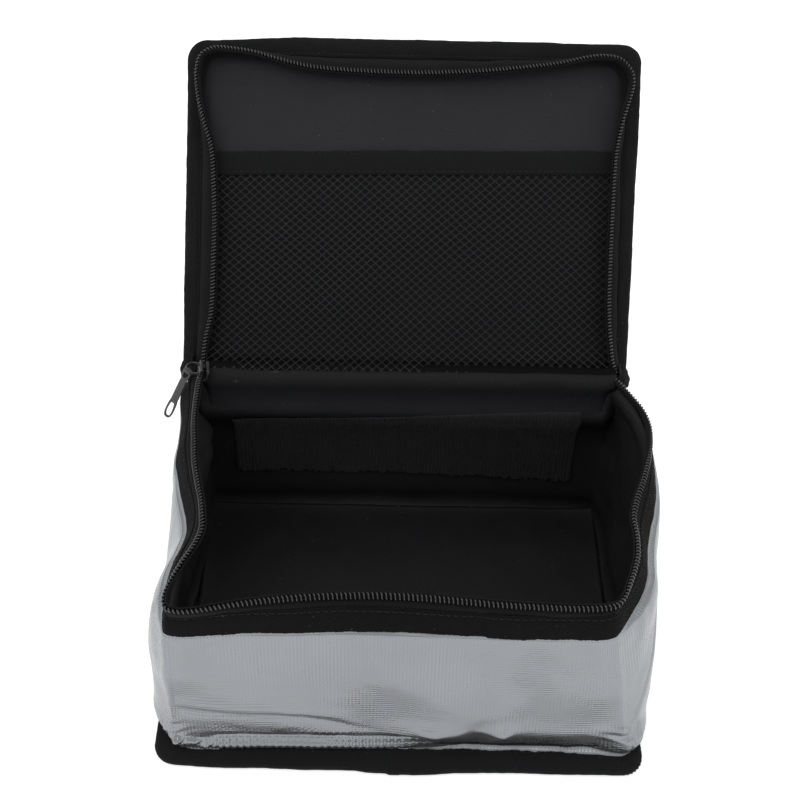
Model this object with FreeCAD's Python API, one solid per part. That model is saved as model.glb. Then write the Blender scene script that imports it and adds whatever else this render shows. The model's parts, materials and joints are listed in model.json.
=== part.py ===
import FreeCAD, Part
import os
import math

os.makedirs("parts", exist_ok=True)

# Fire-resistant battery storage bag: a padded box of aluminised cloth with a
# lid that zips round three sides.  Millimetres.  Origin at the centre of the
# base on the table, +Z up, front towards -Y, fabric hinge at the back (+Y).

V = FreeCAD.Vector

# ---------------------------------------------------------------- dimensions
BASE_W = 215.0          # base flange, outside its binding, along X
BASE_D = 168.5          # base flange, outside its binding, along Y
BASE_R = 9.0            # corner radius of the bound edges
BODY_W = 195.2          # outside of the silver walls, along X
BODY_D = 145.5          # outside of the silver walls, along Y
T_OUT = 0.8             # aluminised outer cloth
T_PAD = 2.0             # fibre padding
T_LIN = 0.6             # lining cloth
GAP = 0.05              # air between neighbouring cloth layers
T_BIND = 2.8            # bound edge, folded twice
BIND_W = 9.0            # width of the bound base edge at the sides
BIND_WY = 10.6          # width of the bound base edge, front and back
T_BOARD = 2.0           # base stiffener board
T_BASEPAD = 1.5         # padding under the base lining

PART_Z = 99.0           # parting plane of the zipper
WALL_TOP = 93.0         # top of the silver walls on the zipped sides
BACK_TOP = 97.6         # top of the back wall, under the fabric hinge
BAND_Z0 = 82.5          # webbing band round the rim
BAND_Z1 = 93.5
T_BAND = 1.2
TAPE_X = 95.6           # centre plane of the zipper tape, left and right
TAPE_Y = 70.75          # centre plane of the zipper tape, at the front
T_TAPE = 0.8
TAPE_R = 10.0           # corner radius of the tape at the front corners
COIL_R = 1.0            # core radius of one half of the zipper coil
COIL_DZ = 1.8           # coil centre above or below the parting plane

HINGE_Y = 73.8          # fabric hinge line
LID_OPEN = 134.2        # opening angle of the lid as drawn
LID_W = 215.0           # lid, outside its binding
LID_L = 155.5           # lid, from hinge line to the front of its binding
LID_BIND_W = 8.0
SKIRT_H = 12.0          # depth of the lid's skirt, parting plane to lining

STRIP_W = 166.0         # loop strip inside the back wall
STRIP_Z0 = 30.0
STRIP_Z1 = 77.0
T_STRIP = 1.2

MESH_L = 95.7           # mesh pocket, from the hinge
HEM_L = 11.0            # woven hem along the pocket mouth

HANDLE_SPAN = 124.0     # between the sewn ends of the carrying handle
HANDLE_W = 20.0
HANDLE_H = 26.0
T_WEB = 1.8
ANCHOR_L = 22.0

SLIDER_Y = 63.0         # slider centre at the hinge end of the left side
SLIDER_L = 11.0
PULL_L = 27.0
PULL_W = 4.6
PULL_T = 1.2
PULL_REST = 20.0        # pull hangs outward by this angle
BAR_X = -100.6          # bridge bar of the slider
BAR_R = 0.7


# ------------------------------------------------------------------- helpers
def box(x0, x1, y0, y1, z0, z1):
    return Part.makeBox(x1 - x0, y1 - y0, z1 - z0, V(x0, y0, z0))


def rbox(x0, x1, y0, y1, z0, z1, r):
    """Box with rounded vertical edges."""
    b = box(x0, x1, y0, y1, z0, z1)
    if r <= 0:
        return b
    vert = [e for e in b.Edges
            if abs(e.Vertexes[0].Point.x - e.Vertexes[1].Point.x) < 1e-6
            and abs(e.Vertexes[0].Point.y - e.Vertexes[1].Point.y) < 1e-6]
    return b.makeFillet(r, vert)


def soften(shape, r, test):
    """Round the edges of a shape that pass a test on their midpoints."""
    picked = []
    for e in shape.Edges:
        m = e.valueAt(0.5 * (e.FirstParameter + e.LastParameter))
        if test(m):
            picked.append(e)
    if not picked:
        return shape
    try:
        s = shape.makeFillet(r, picked)
        return s if s.isValid() else shape
    except Exception:
        return shape


def save(shape, name):
    if shape.ShapeType != "Solid":
        sol = shape.Solids
        if len(sol) == 1:
            shape = sol[0]
    shape.exportStep("parts/%s.step" % name)


def three_sided(x_in, x_out, y_in, y_out, y_back, z0, z1, r_in, r_out):
    """U-shaped strip open at the back: left, front and right sides."""
    o = rbox(-x_out, x_out, -y_out, y_back + 40, z0, z1, r_out)
    i = rbox(-x_in, x_in, -y_in, y_back + 60, z0 - 1, z1 + 1, r_in)
    s = o.cut(i)
    return s.cut(box(-300, 300, y_back, y_back + 200, z0 - 1, z1 + 1))


def coil(x, y_front, y_back, z, r_corner, rad):
    """Half of a zipper coil as a round rope along three sides."""
    a = V(-x, y_back, z)
    b = V(-x, -y_front + r_corner, z)
    c = V(-x + r_corner, -y_front, z)
    d = V(x - r_corner, -y_front, z)
    e = V(x, -y_front + r_corner, z)
    f = V(x, y_back, z)
    k = r_corner * (1 - math.sqrt(0.5))
    arc1 = Part.Arc(b, V(-x + k, -y_front + k, z), c).toShape()
    arc2 = Part.Arc(d, V(x - k, -y_front + k, z), e).toShape()
    path = Part.Wire([Part.makeLine(a, b), arc1, Part.makeLine(c, d), arc2,
                      Part.makeLine(e, f)])
    ring = Part.Wire([Part.makeCircle(rad, a, V(0, 1, 0))])
    return path.makePipeShell([ring], True, False)


def to_lid(shape):
    """Turn a shape drawn on the closed bag to the open position."""
    s = shape.copy()
    s.rotate(V(0, HINGE_Y, PART_Z), V(1, 0, 0), -LID_OPEN)
    return s


HX = BODY_W / 2.0
HY = BODY_D / 2.0

# ---------------------------------------------------------------------- base
Z1 = T_OUT
panel = rbox(-(BASE_W / 2 - BIND_W) - 0.0, (BASE_W / 2 - BIND_W),
             -(BASE_D / 2 - BIND_WY), (BASE_D / 2 - BIND_WY), 0, Z1, 3.0)
save(panel, "base_outer_panel")

bo = rbox(-BASE_W / 2, BASE_W / 2, -BASE_D / 2, BASE_D / 2, 0, T_BIND, BASE_R)
bi = rbox(-(BASE_W / 2 - BIND_W) - GAP, (BASE_W / 2 - BIND_W) + GAP,
          -(BASE_D / 2 - BIND_WY) - GAP, (BASE_D / 2 - BIND_WY) + GAP,
          -1, T_BIND + 1, 3.05)
bind = bo.cut(bi)
bind = soften(bind, 1.0, lambda m: abs(m.z - T_BIND) < 1e-3 and
              (abs(m.x) > BASE_W / 2 - 6.0 or abs(m.y) > BASE_D / 2 - 6.0))
save(bind, "base_binding")

IX = HX - T_OUT - T_PAD - T_LIN - 2 * GAP     # inside face of the lining
IY = HY - T_OUT - T_PAD - T_LIN - 2 * GAP
zb = T_OUT + GAP
save(rbox(-IX + 0.1, IX - 0.1, -IY + 0.1, IY - 0.1, zb, zb + T_BOARD, 4.0),
     "base_stiffener_board")
zp = zb + T_BOARD + GAP
save(rbox(-IX + 0.1, IX - 0.1, -IY + 0.1, IY - 0.1, zp, zp + T_BASEPAD, 4.0),
     "base_padding")
zl = zp + T_BASEPAD + GAP
save(box(-IX + 0.1, IX - 0.1, -IY + 0.1, IY - 0.1, zl, zl + T_LIN),
     "base_lining")
FLOOR_Z = zl + T_LIN

# --------------------------------------------------------------------- walls
# front and back silver panels run the full width; the side panels stand
# between them.  Inside each is padding, then lining.
wz0 = T_OUT + GAP
PAD_TOP = 89.9
LIN_TOP = 89.9


def wall_front_like(sign, t0, t1, x_half, z0, z1):
    ya, yb = sign * (HY - t0), sign * (HY - t1)
    return box(-x_half, x_half, min(ya, yb), max(ya, yb), z0, z1)


def wall_side_like(sign, t0, t1, y_half, z0, z1):
    xa, xb = sign * (HX - t0), sign * (HX - t1)
    return box(min(xa, xb), max(xa, xb), -y_half, y_half, z0, z1)


p0 = T_OUT + GAP
p1 = p0 + T_PAD
l0 = p1 + GAP
l1 = l0 + T_LIN
front = wall_front_like(-1, 0, T_OUT, HX, wz0, WALL_TOP)
back = wall_front_like(1, 0, T_OUT, HX, wz0, BACK_TOP)
# the outer corners are sewn with a small radius
front = soften(front, 0.6, lambda m: abs(abs(m.x) - HX) < 1e-3 and
               abs(m.y + HY) < 1e-3 and 5 < m.z < WALL_TOP - 5)
back = soften(back, 0.6, lambda m: abs(abs(m.x) - HX) < 1e-3 and
              abs(m.y - HY) < 1e-3 and 5 < m.z < BACK_TOP - 5)
save(front, "outer_wall_front")
save(back, "outer_wall_back")
save(wall_side_like(-1, 0, T_OUT, HY - T_OUT - GAP, wz0, WALL_TOP),
     "outer_wall_left")
save(wall_side_like(1, 0, T_OUT, HY - T_OUT - GAP, wz0, WALL_TOP),
     "outer_wall_right")

save(wall_front_like(-1, p0, p1, HX - p0, wz0, PAD_TOP), "padding_front")
save(wall_front_like(1, p0, p1, HX - p0, wz0, BACK_TOP), "padding_back")
save(wall_side_like(-1, p0, p1, HY - p1 - GAP, wz0, PAD_TOP), "padding_left")
save(wall_side_like(1, p0, p1, HY - p1 - GAP, wz0, PAD_TOP), "padding_right")

save(wall_front_like(-1, l0, l1, HX - l0, wz0, LIN_TOP), "lining_front")
save(wall_front_like(1, l0, l1, HX - l0, wz0, BACK_TOP), "lining_back")
save(wall_side_like(-1, l0, l1, HY - l1 - GAP, wz0, LIN_TOP), "lining_left")
save(wall_side_like(1, l0, l1, HY - l1 - GAP, wz0, LIN_TOP), "lining_right")

# webbing band round the outside of the rim
ro = rbox(-HX - GAP - T_BAND, HX + GAP + T_BAND, -HY - GAP - T_BAND,
          HY + GAP + T_BAND, BAND_Z0, BAND_Z1, 2.0)
ri = rbox(-HX - GAP, HX + GAP, -HY - GAP, HY + GAP, BAND_Z0 - 1,
          BAND_Z1 + 1, 0.3)
save(ro.cut(ri), "rim_binding")

# zipper tape and coil standing on the rim, three sides
h = T_TAPE / 2.0
TAPE_BACK = 68.9
save(three_sided(TAPE_X - h, TAPE_X + h, TAPE_Y - h, TAPE_Y + h, TAPE_BACK + 0.1,
                 PAD_TOP + GAP, PART_Z - COIL_DZ - COIL_R - GAP,
                 TAPE_R - h, TAPE_R + h), "rim_zipper_tape")
save(coil(TAPE_X, TAPE_Y, TAPE_BACK, PART_Z - COIL_DZ, TAPE_R, COIL_R),
     "rim_zipper_coil")

# loop strips for a hook-edged divider, on the back and front linings
for nm, s in (("back_loop_strip", 1), ("front_loop_strip", -1)):
    ya, yb = s * (IY - GAP), s * (IY - GAP - T_STRIP)
    save(box(-STRIP_W / 2, STRIP_W / 2, min(ya, yb), max(ya, yb),
             STRIP_Z0, STRIP_Z1), nm)

# folded ends of the binding at the two hinge corners
for nm, s in (("binding_end_tab_left", -1), ("binding_end_tab_right", 1)):
    xa, xb = s * (HX + GAP + T_BAND + 0.1), s * (HX + GAP + T_BAND + 4.1)
    t = rbox(min(xa, xb), max(xa, xb), 67.9 + 1.6, 67.9 + 5.6, 91.4, 97.4, 1.2)
    save(t, nm)

# ----------------------------------------------------------------------- lid
# drawn on the closed bag, then turned open about the hinge line
Y_SEAM = HINGE_Y - (LID_L - LID_BIND_W)       # seam inside the front binding
X_SEAM = LID_W / 2 - LID_BIND_W
yb_lid = HINGE_Y - 0.4
zlin = PART_Z + SKIRT_H
lid_lin = rbox(-X_SEAM + 0.1, X_SEAM - 0.1, Y_SEAM + 0.1, yb_lid - 0.2,
               zlin, zlin + T_LIN, 2.0)
save(to_lid(lid_lin), "lid_lining")
zpad = zlin + T_LIN + GAP
lid_pad = rbox(-X_SEAM + 0.1, X_SEAM - 0.1, Y_SEAM + 0.1, yb_lid - 0.2,
               zpad, zpad + T_PAD, 2.0)
save(to_lid(lid_pad), "lid_padding")
zout = zpad + T_PAD + GAP
lid_out = rbox(-X_SEAM + 0.1, X_SEAM - 0.1, Y_SEAM + 0.1, yb_lid, zout,
               zout + T_OUT, 2.0)
save(to_lid(lid_out), "lid_outer_panel")
LID_TOP = zout + T_OUT

lb = three_sided(X_SEAM, LID_W / 2, -Y_SEAM, -(HINGE_Y - LID_L),
                 HINGE_Y - 0.5, zlin + 0.1, zlin + 3.3, 2.1, BASE_R)
lb = soften(lb, 1.0, lambda m: (abs(m.z - zlin - 0.1) < 1e-3 or
                                abs(m.z - zlin - 3.3) < 1e-3) and
            (abs(m.x) > LID_W / 2 - 3.5 or m.y < HINGE_Y - LID_L + 3.5) and
            m.y < HINGE_Y - 1.0)
save(to_lid(lb), "lid_binding")

skirt = three_sided(TAPE_X - h, TAPE_X + h, TAPE_Y - h, TAPE_Y + h,
                    HINGE_Y - 1.4, PART_Z + COIL_DZ + COIL_R + GAP,
                    zlin - GAP, TAPE_R - h, TAPE_R + h)
save(to_lid(skirt), "lid_zipper_tape")
save(to_lid(coil(TAPE_X, TAPE_Y, 71.2, PART_Z + COIL_DZ, TAPE_R,
                 COIL_R)), "lid_zipper_coil")

gusset = box(-X_SEAM + 3.0, X_SEAM - 3.0, HINGE_Y - 1.2, HINGE_Y - 0.4,
             PART_Z + 0.3, zlin - GAP)
save(to_lid(gusset), "lid_hinge_gusset")

mesh = box(-TAPE_X + 1.4, TAPE_X - 1.4, HINGE_Y - MESH_L, HINGE_Y - 2.0,
           zlin - 0.8, zlin - 0.4)
save(to_lid(mesh), "mesh_pocket")
hem = box(-TAPE_X + 1.4, TAPE_X - 1.4, HINGE_Y - MESH_L - HEM_L,
          HINGE_Y - MESH_L - GAP, zlin - 1.15, zlin - 0.15)
save(to_lid(hem), "pocket_hem")

# carrying handle: two sewn ends and a webbing arch between them
HYC = HINGE_Y - 0.5 * LID_L + 3.0            # handle centre line on the lid
AXIS_Z = LID_TOP + T_WEB + 0.2
S = HANDLE_SPAN / 2.0
for nm, s in (("handle_anchor_left", -1), ("handle_anchor_right", 1)):
    xa, xb = s * (S - 2.0), s * (S + ANCHOR_L)
    an = box(min(xa, xb), max(xa, xb), HYC - HANDLE_W / 2, HYC + HANDLE_W / 2,
             LID_TOP + GAP, LID_TOP + T_WEB)
    save(to_lid(an), nm)

z0h = AXIS_Z + 0.45
zt = AXIS_Z + HANDLE_H
pts_o = [V(-S, 0, z0h), V(-S + 6, 0, z0h + 15), V(-S + 20, 0, zt - 2.5),
         V(-S + 40, 0, zt), V(S - 40, 0, zt), V(S - 20, 0, zt - 2.5),
         V(S - 6, 0, z0h + 15), V(S, 0, z0h)]


def offset_in(p, q, d):
    n = V(q.z - p.z, 0, -(q.x - p.x))
    n.normalize()
    return n * d


# arch as a band of constant thickness between an outer and an inner spline
outer = Part.BSplineCurve()
outer.interpolate(pts_o)
n = 40
inner_pts = []
for i in range(n + 1):
    u = outer.FirstParameter + (outer.LastParameter - outer.FirstParameter) \
        * i / n
    p = outer.value(u)
    t = outer.tangent(u)[0]
    nn = V(t.z, 0, -t.x)
    nn.normalize()
    inner_pts.append(p + nn * T_WEB)
inner_pts[0] = V(inner_pts[0].x, 0, z0h)
inner_pts[-1] = V(inner_pts[-1].x, 0, z0h)
inner = Part.BSplineCurve()
inner.interpolate(inner_pts)
w = Part.Wire([outer.toShape(),
               Part.makeLine(pts_o[-1], inner_pts[-1]),
               inner.toShape(),
               Part.makeLine(inner_pts[0], pts_o[0])])
arch = Part.Face(w).extrude(V(0, HANDLE_W, 0))
arch.translate(V(0, HYC - HANDLE_W / 2, 0))
# the band gathers to a narrow neck where it leaves the sewn ends, so that it
# can lean until its edge meets the lid
wp = [V(-200, HYC - 0.9, z0h - 1), V(-200, HYC - 0.9, z0h),
      V(-200, HYC - HANDLE_W / 2 - 0.01, z0h + 7.4),
      V(-200, HYC - HANDLE_W / 2 - 0.01, zt + 5),
      V(-200, HYC + HANDLE_W / 2 + 0.01, zt + 5),
      V(-200, HYC + HANDLE_W / 2 + 0.01, z0h + 7.4),
      V(-200, HYC + 0.9, z0h), V(-200, HYC + 0.9, z0h - 1)]
wedge = Part.Face(Part.makePolygon(wp + [wp[0]])).extrude(V(400, 0, 0))
save(to_lid(arch.common(wedge)), "handle_strap")

# -------------------------------------------------------------------- slider
# two plates either side of the tape, joined by a neck between the two coil
# halves, with lips that keep the coils in, and a bridge for the pull
Y0, Y1 = SLIDER_Y - SLIDER_L / 2, SLIDER_Y + SLIDER_L / 2
SZ0, SZ1 = PART_Z - 4.3, PART_Z + 4.3
XO0, XO1 = -98.0, -96.9            # outer plate
XI0, XI1 = -94.3, -93.2            # inner plate
op = box(XO0, XO1, Y0, Y1, SZ0, SZ1)
op = soften(op, 2.2, lambda m: abs(abs(m.y - SLIDER_Y) - SLIDER_L / 2) < 1e-3
            and abs(abs(m.z - PART_Z) - 4.3) < 1e-3)
ip = box(XI0, XI1, Y0, Y1, SZ0, SZ1)
ip = soften(ip, 2.2, lambda m: abs(abs(m.y - SLIDER_Y) - SLIDER_L / 2) < 1e-3
            and abs(abs(m.z - PART_Z) - 4.3) < 1e-3)
body = op.fuse(ip)
body = body.fuse(box(XO1 - 0.2, XI0 + 0.2, SLIDER_Y - 4.6, SLIDER_Y - 1.4,
                     PART_Z - 0.6, PART_Z + 0.6))
for z0, lip in ((SZ0, 0.6), (SZ1 - 0.9, 0.2)):
    body = body.fuse(box(XO1 - 0.1, XO1 + lip, Y0 + 2.3, Y1 - 2.3, z0,
                         z0 + 0.9))
    body = body.fuse(box(XI0 - lip, XI0 + 0.1, Y0 + 2.3, Y1 - 2.3, z0,
                         z0 + 0.9))
# bridge: two posts and a bar along the slider
bar = Part.makeCylinder(BAR_R, 8.4, V(BAR_X, SLIDER_Y - 4.2, PART_Z),
                        V(0, 1, 0))
body = body.fuse(bar)
for s in (-1, 1):
    yc = SLIDER_Y + s * 3.6
    body = body.fuse(box(BAR_X, XO0 + 0.2, yc - 0.8, yc + 0.8,
                         PART_Z - 1.0, PART_Z + 1.0))
save(body.removeSplitter(), "slider_body")

# pull: a flat plate hanging on the bar, an eye at the top and a long hole
# near the tip
def stadium(w_, l_, t_, z_top):
    r = w_ / 2.0
    a = Part.makeCylinder(r, t_, V(0, -t_ / 2, 0), V(0, 1, 0))
    b = Part.makeCylinder(r, t_, V(0, -t_ / 2, -l_), V(0, 1, 0))
    c = box(-r, r, -t_ / 2, t_ / 2, -l_, 0)
    s = a.fuse([b, c]).removeSplitter()
    s.translate(V(0, 0, z_top))
    return s


pull = stadium(PULL_W, PULL_L, PULL_T, 0)
eye = Part.makeCylinder(1.2, 4, V(0, -2, 0), V(0, 1, 0))
slot = stadium(2.0, 6.0, 4.0, -PULL_L + 6.0)
pull = pull.cut(eye).cut(slot)
pull.rotate(V(0, 0, 0), V(0, 1, 0), PULL_REST)
pull.translate(V(BAR_X, SLIDER_Y, PART_Z))
save(pull, "pull_tab")
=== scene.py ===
import bpy
import json
import math
import numpy as np
from mathutils import Matrix, Vector


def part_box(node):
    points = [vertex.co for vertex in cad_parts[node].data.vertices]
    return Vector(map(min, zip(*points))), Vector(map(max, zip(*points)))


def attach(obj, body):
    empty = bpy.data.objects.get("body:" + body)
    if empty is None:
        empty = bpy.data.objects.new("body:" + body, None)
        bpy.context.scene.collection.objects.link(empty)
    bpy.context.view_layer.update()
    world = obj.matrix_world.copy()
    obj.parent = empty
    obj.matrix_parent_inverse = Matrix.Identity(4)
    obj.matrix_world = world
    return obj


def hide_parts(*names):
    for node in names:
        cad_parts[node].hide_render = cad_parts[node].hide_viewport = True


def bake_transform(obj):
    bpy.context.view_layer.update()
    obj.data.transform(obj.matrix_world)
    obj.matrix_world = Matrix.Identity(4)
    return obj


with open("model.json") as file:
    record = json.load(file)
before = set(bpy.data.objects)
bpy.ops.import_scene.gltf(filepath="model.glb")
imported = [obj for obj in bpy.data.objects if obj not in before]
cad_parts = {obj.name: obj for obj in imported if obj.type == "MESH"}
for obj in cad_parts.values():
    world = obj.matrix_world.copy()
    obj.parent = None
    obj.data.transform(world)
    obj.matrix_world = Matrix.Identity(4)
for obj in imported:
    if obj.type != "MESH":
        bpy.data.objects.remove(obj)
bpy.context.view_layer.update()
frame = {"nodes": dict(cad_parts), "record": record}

REC = frame["record"]
JOINTS = {j["name"]: j for j in REC["behaviour"]["joints"]}
MM = 0.001


def bx(node):
    lo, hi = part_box(node)
    return np.array([c * 1000 for c in lo]), np.array([c * 1000 for c in hi])


# ------------------------------------------------------------------ the frame
HINGE = np.array(JOINTS["lid_hinge"]["pos_m"], float) * 1000
PHI = math.radians(180.0 - JOINTS["lid_hinge"]["range_deg"][1])
LD = np.array([0.0, math.cos(PHI), math.sin(PHI)])     # hinge to lid front
ND = np.array([0.0, math.sin(PHI), -math.cos(PHI)])    # lid inside to outside


def lid(x, r, h):
    """Lid coordinates (across, from hinge, depth) to the row frame, mm."""
    x, r, h = np.broadcast_arrays(np.asarray(x, float), np.asarray(r, float),
                                  np.asarray(h, float))
    return (HINGE + r[..., None] * LD + h[..., None] * ND
            + x[..., None] * np.array([1.0, 0, 0]))


_lo, _hi = bx("rim_zipper_coil")
SX = ((_hi[0] - _lo[0]) / 2 - 1.0) / 95.6
SY = (-_lo[1] - 1.0) / 70.75
DZ = (_lo[2] + _hi[2]) / 2 - 97.2
_blo, _bhi = bx("base_binding")
BW = (_bhi[0] - _blo[0]) / 2
BD = (_bhi[1] - _blo[1]) / 2
_flo, _fhi = bx("base_lining")
FLOOR = _fhi[2]


# -------------------------------------------------------------------- numbers
class Noise:
    def __init__(self, seed):
        self.t = np.random.RandomState(seed).rand(64, 64) * 2 - 1

    def __call__(self, u, v=0.0):
        u, v = np.broadcast_arrays(np.asarray(u, float), np.asarray(v, float))
        i, j = np.floor(u).astype(int), np.floor(v).astype(int)
        a, b = u - i, v - j
        a = a * a * a * (a * (a * 6 - 15) + 10)
        b = b * b * b * (b * (b * 6 - 15) + 10)
        t = self.t
        p = t[i % 64, j % 64]
        q = t[(i + 1) % 64, j % 64]
        r = t[i % 64, (j + 1) % 64]
        s = t[(i + 1) % 64, (j + 1) % 64]
        return (p * (1 - a) + q * a) * (1 - b) + (r * (1 - a) + s * a) * b


N1, N2, N3, N4, N5, N6 = (Noise(k) for k in (11, 23, 37, 41, 59, 67))


def sstep(a, b, x):
    t = np.clip((np.asarray(x, float) - a) / (b - a), 0, 1)
    return t * t * (3 - 2 * t)


def gauss(x, c, w):
    return np.exp(-((np.asarray(x, float) - c) / w) ** 2)


def hermite(P, t, tt):
    P = np.asarray(P, float)
    m = np.empty_like(P)
    m[1:-1] = (P[2:] - P[:-2]) / (t[2:] - t[:-2])[:, None]
    m[0] = (P[1] - P[0]) / (t[1] - t[0])
    m[-1] = (P[-1] - P[-2]) / (t[-1] - t[-2])
    i = np.clip(np.searchsorted(t, tt, "right") - 1, 0, len(t) - 2)
    h = (t[i + 1] - t[i])[:, None]
    s = ((tt - t[i]) / (t[i + 1] - t[i]))[:, None]
    return ((2 * s**3 - 3 * s**2 + 1) * P[i] + (s**3 - 2 * s**2 + s) * h * m[i]
            + (-2 * s**3 + 3 * s**2) * P[i + 1] + (s**3 - s**2) * h * m[i + 1])


def arclen(P, closed=False):
    d = np.linalg.norm(np.diff(P, axis=0), axis=1)
    return np.concatenate([[0], np.cumsum(d)])


def resample(P, n, key=slice(0, 3)):
    """n samples of polyline P (any columns), even along the key columns."""
    s = arclen(P[:, key])
    ss = np.linspace(0, s[-1], n)
    return np.stack([np.interp(ss, s, P[:, k]) for k in range(P.shape[1])], 1)


def smooth_path(P, n, key=slice(0, 3)):
    P = np.asarray(P, float)
    t = arclen(P[:, key])
    dense = hermite(P, t, np.linspace(0, t[-1], 4000))
    return resample(dense, n, key)


def unit(v):
    return v / np.maximum(np.linalg.norm(v, axis=-1, keepdims=True), 1e-9)


def grads(P, closed):
    if closed:
        du = np.roll(P, -1, 1) - np.roll(P, 1, 1)
    else:
        du = np.gradient(P, axis=1)
    return du, np.gradient(P, axis=0)


def normals(P, closed=False):
    du, dv = grads(P, closed)
    return unit(np.cross(du, dv))


def uv_of(P, closed=False):
    """Surface distances (mm) along columns and rows."""
    R, C = P.shape[:2]
    Q = np.concatenate([P, P[:, :1]], 1) if closed else P
    mid = Q[R // 2]
    u = arclen(mid)
    v = np.zeros((R, Q.shape[1]))
    v[1:] = np.cumsum(np.linalg.norm(np.diff(Q, axis=0), axis=2), 0)
    v = np.repeat(v.mean(1)[:, None], Q.shape[1], 1)
    return np.stack([np.repeat(u[None], R, 0), v], -1)


# --------------------------------------------------------------------- meshes
SCENE = bpy.context.scene
COL = SCENE.collection


def make_mesh(name, verts, faces, uvs, mat, smooth=True):
    """verts mm, faces (n,4) or list of arrays, uvs per corner (n,4,2) mm."""
    me = bpy.data.meshes.new(name)
    verts = np.asarray(verts, float) * MM
    faces = np.asarray(faces, np.int32)
    nf, k = faces.shape
    me.vertices.add(len(verts))
    me.vertices.foreach_set("co", verts.astype(np.float32).ravel())
    me.loops.add(nf * k)
    me.loops.foreach_set("vertex_index", faces.ravel())
    me.polygons.add(nf)
    me.polygons.foreach_set("loop_start", np.arange(0, nf * k, k, dtype=np.int32))
    me.polygons.foreach_set("loop_total", np.full(nf, k, np.int32))
    me.update(calc_edges=True)
    if uvs is not None:
        lay = me.uv_layers.new(name="UVMap")
        lay.data.foreach_set("uv", (np.asarray(uvs, np.float32) / 10.0).ravel())
    me.validate()
    if smooth:
        me.polygons.foreach_set("use_smooth", np.ones(len(me.polygons), bool))
    ob = bpy.data.objects.new(name, me)
    COL.objects.link(ob)
    if mat is not None:
        me.materials.append(mat)
    return ob


def quads(R, C, closed, base=0, flip=False):
    cc = C if closed else C - 1
    r, c = np.meshgrid(np.arange(R - 1), np.arange(cc), indexing="ij")
    c2 = (c + 1) % C
    q = np.stack([r * C + c, r * C + c2, (r + 1) * C + c2, (r + 1) * C + c], -1)
    q = q.reshape(-1, 4)
    rr = np.stack([r, r, r + 1, r + 1], -1).reshape(-1, 4)
    cx = np.stack([c, c + 1, c + 1, c], -1).reshape(-1, 4)
    if flip:
        q, rr, cx = q[:, ::-1], rr[:, ::-1], cx[:, ::-1]
    return q + base, rr, cx


def solid(name, P, a, b, mat, closed=False, uv=None, n=None, smooth=True):
    """Closed cloth solid: P offset by a (outside) and b (inside) mm."""
    R, C = P.shape[:2]
    if n is None:
        n = normals(P, closed)
    a = np.asarray(a, float)
    b = np.asarray(b, float)
    a = a[..., None] if a.ndim else a
    b = b[..., None] if b.ndim else b
    V = np.concatenate([(P + n * a).reshape(-1, 3), (P + n * b).reshape(-1, 3)])
    if uv is None:
        uv = uv_of(P, closed)
    F, U = [], []
    q, rr, cx = quads(R, C, closed)
    F.append(q)
    U.append(uv[rr, cx])
    q, rr, cx = quads(R, C, closed, R * C, True)
    F.append(q)
    U.append(uv[rr, cx])
    cc = C if closed else C - 1
    c = np.arange(cc)
    c2 = (c + 1) % C
    o = R * C
    t = (R - 1) * C
    F.append(np.stack([o + c, o + c2, c2, c], -1))
    U.append(np.stack([uv[0, c], uv[0, c + 1], uv[0, c + 1], uv[0, c]], 1))
    F.append(np.stack([t + c, t + c2, o + t + c2, o + t + c], -1))
    U.append(np.stack([uv[-1, c], uv[-1, c + 1], uv[-1, c + 1], uv[-1, c]], 1))
    if not closed:
        r = np.arange(R - 1)
        F.append(np.stack([r * C, (r + 1) * C, o + (r + 1) * C, o + r * C], -1))
        U.append(np.stack([uv[r, 0], uv[r + 1, 0], uv[r + 1, 0], uv[r, 0]], 1))
        e = C - 1
        F.append(np.stack([o + r * C + e, o + (r + 1) * C + e,
                           (r + 1) * C + e, r * C + e], -1))
        U.append(np.stack([uv[r, e], uv[r + 1, e], uv[r + 1, e], uv[r, e]], 1))
    return make_mesh(name, V, np.concatenate(F), np.concatenate(U), mat, smooth)


def tube(P, rad, sides, ref, closed=False, rad2=None):
    """Round tube along P with a reference direction per point."""
    P = np.asarray(P, float)
    n = len(P)
    T = unit(np.roll(P, -1, 0) - np.roll(P, 1, 0)) if closed else \
        unit(np.gradient(P, axis=0))
    ref = np.broadcast_to(ref, P.shape)
    A = unit(np.cross(T, ref))
    B = np.cross(T, A)
    rad = np.broadcast_to(np.asarray(rad, float), (n,))
    rad2 = rad if rad2 is None else np.broadcast_to(np.asarray(rad2, float), (n,))
    th = np.linspace(0, 2 * np.pi, sides, endpoint=False)
    ring = (A[:, None] * np.cos(th)[None, :, None] * rad[:, None, None]
            + B[:, None] * np.sin(th)[None, :, None] * rad2[:, None, None])
    V = (P[:, None] + ring).reshape(-1, 3)
    i, j = np.meshgrid(np.arange(n if closed else n - 1), np.arange(sides),
                       indexing="ij")
    i2, j2 = (i + 1) % n, (j + 1) % sides
    F = np.stack([i * sides + j, i * sides + j2, i2 * sides + j2,
                  i2 * sides + j], -1).reshape(-1, 4)
    s = np.concatenate([arclen(P), [arclen(P)[-1] + 1]])
    U = np.stack([np.stack([s[i], j * 1.0], -1), np.stack([s[i], j + 1.0], -1),
                  np.stack([s[i + 1], j + 1.0], -1),
                  np.stack([s[i + 1], j * 1.0], -1)], -2).reshape(-1, 4, 2)
    if not closed:
        # quad caps by halves of the ring
        caps_f, caps_u = [], []
        for base, rev in ((0, True), ((n - 1) * sides, False)):
            idx = list(range(sides))
            for k in range(0, sides // 2 - 1):
                f = [base + k, base + k + 1, base + sides - 2 - k,
                     base + sides - 1 - k]
                if rev:
                    f = f[::-1]
                caps_f.append(f)
                caps_u.append([[0, 0]] * 4)
        F = np.concatenate([F, np.array(caps_f)])
        U = np.concatenate([U, np.array(caps_u, float)])
    return V, F, U


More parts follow.
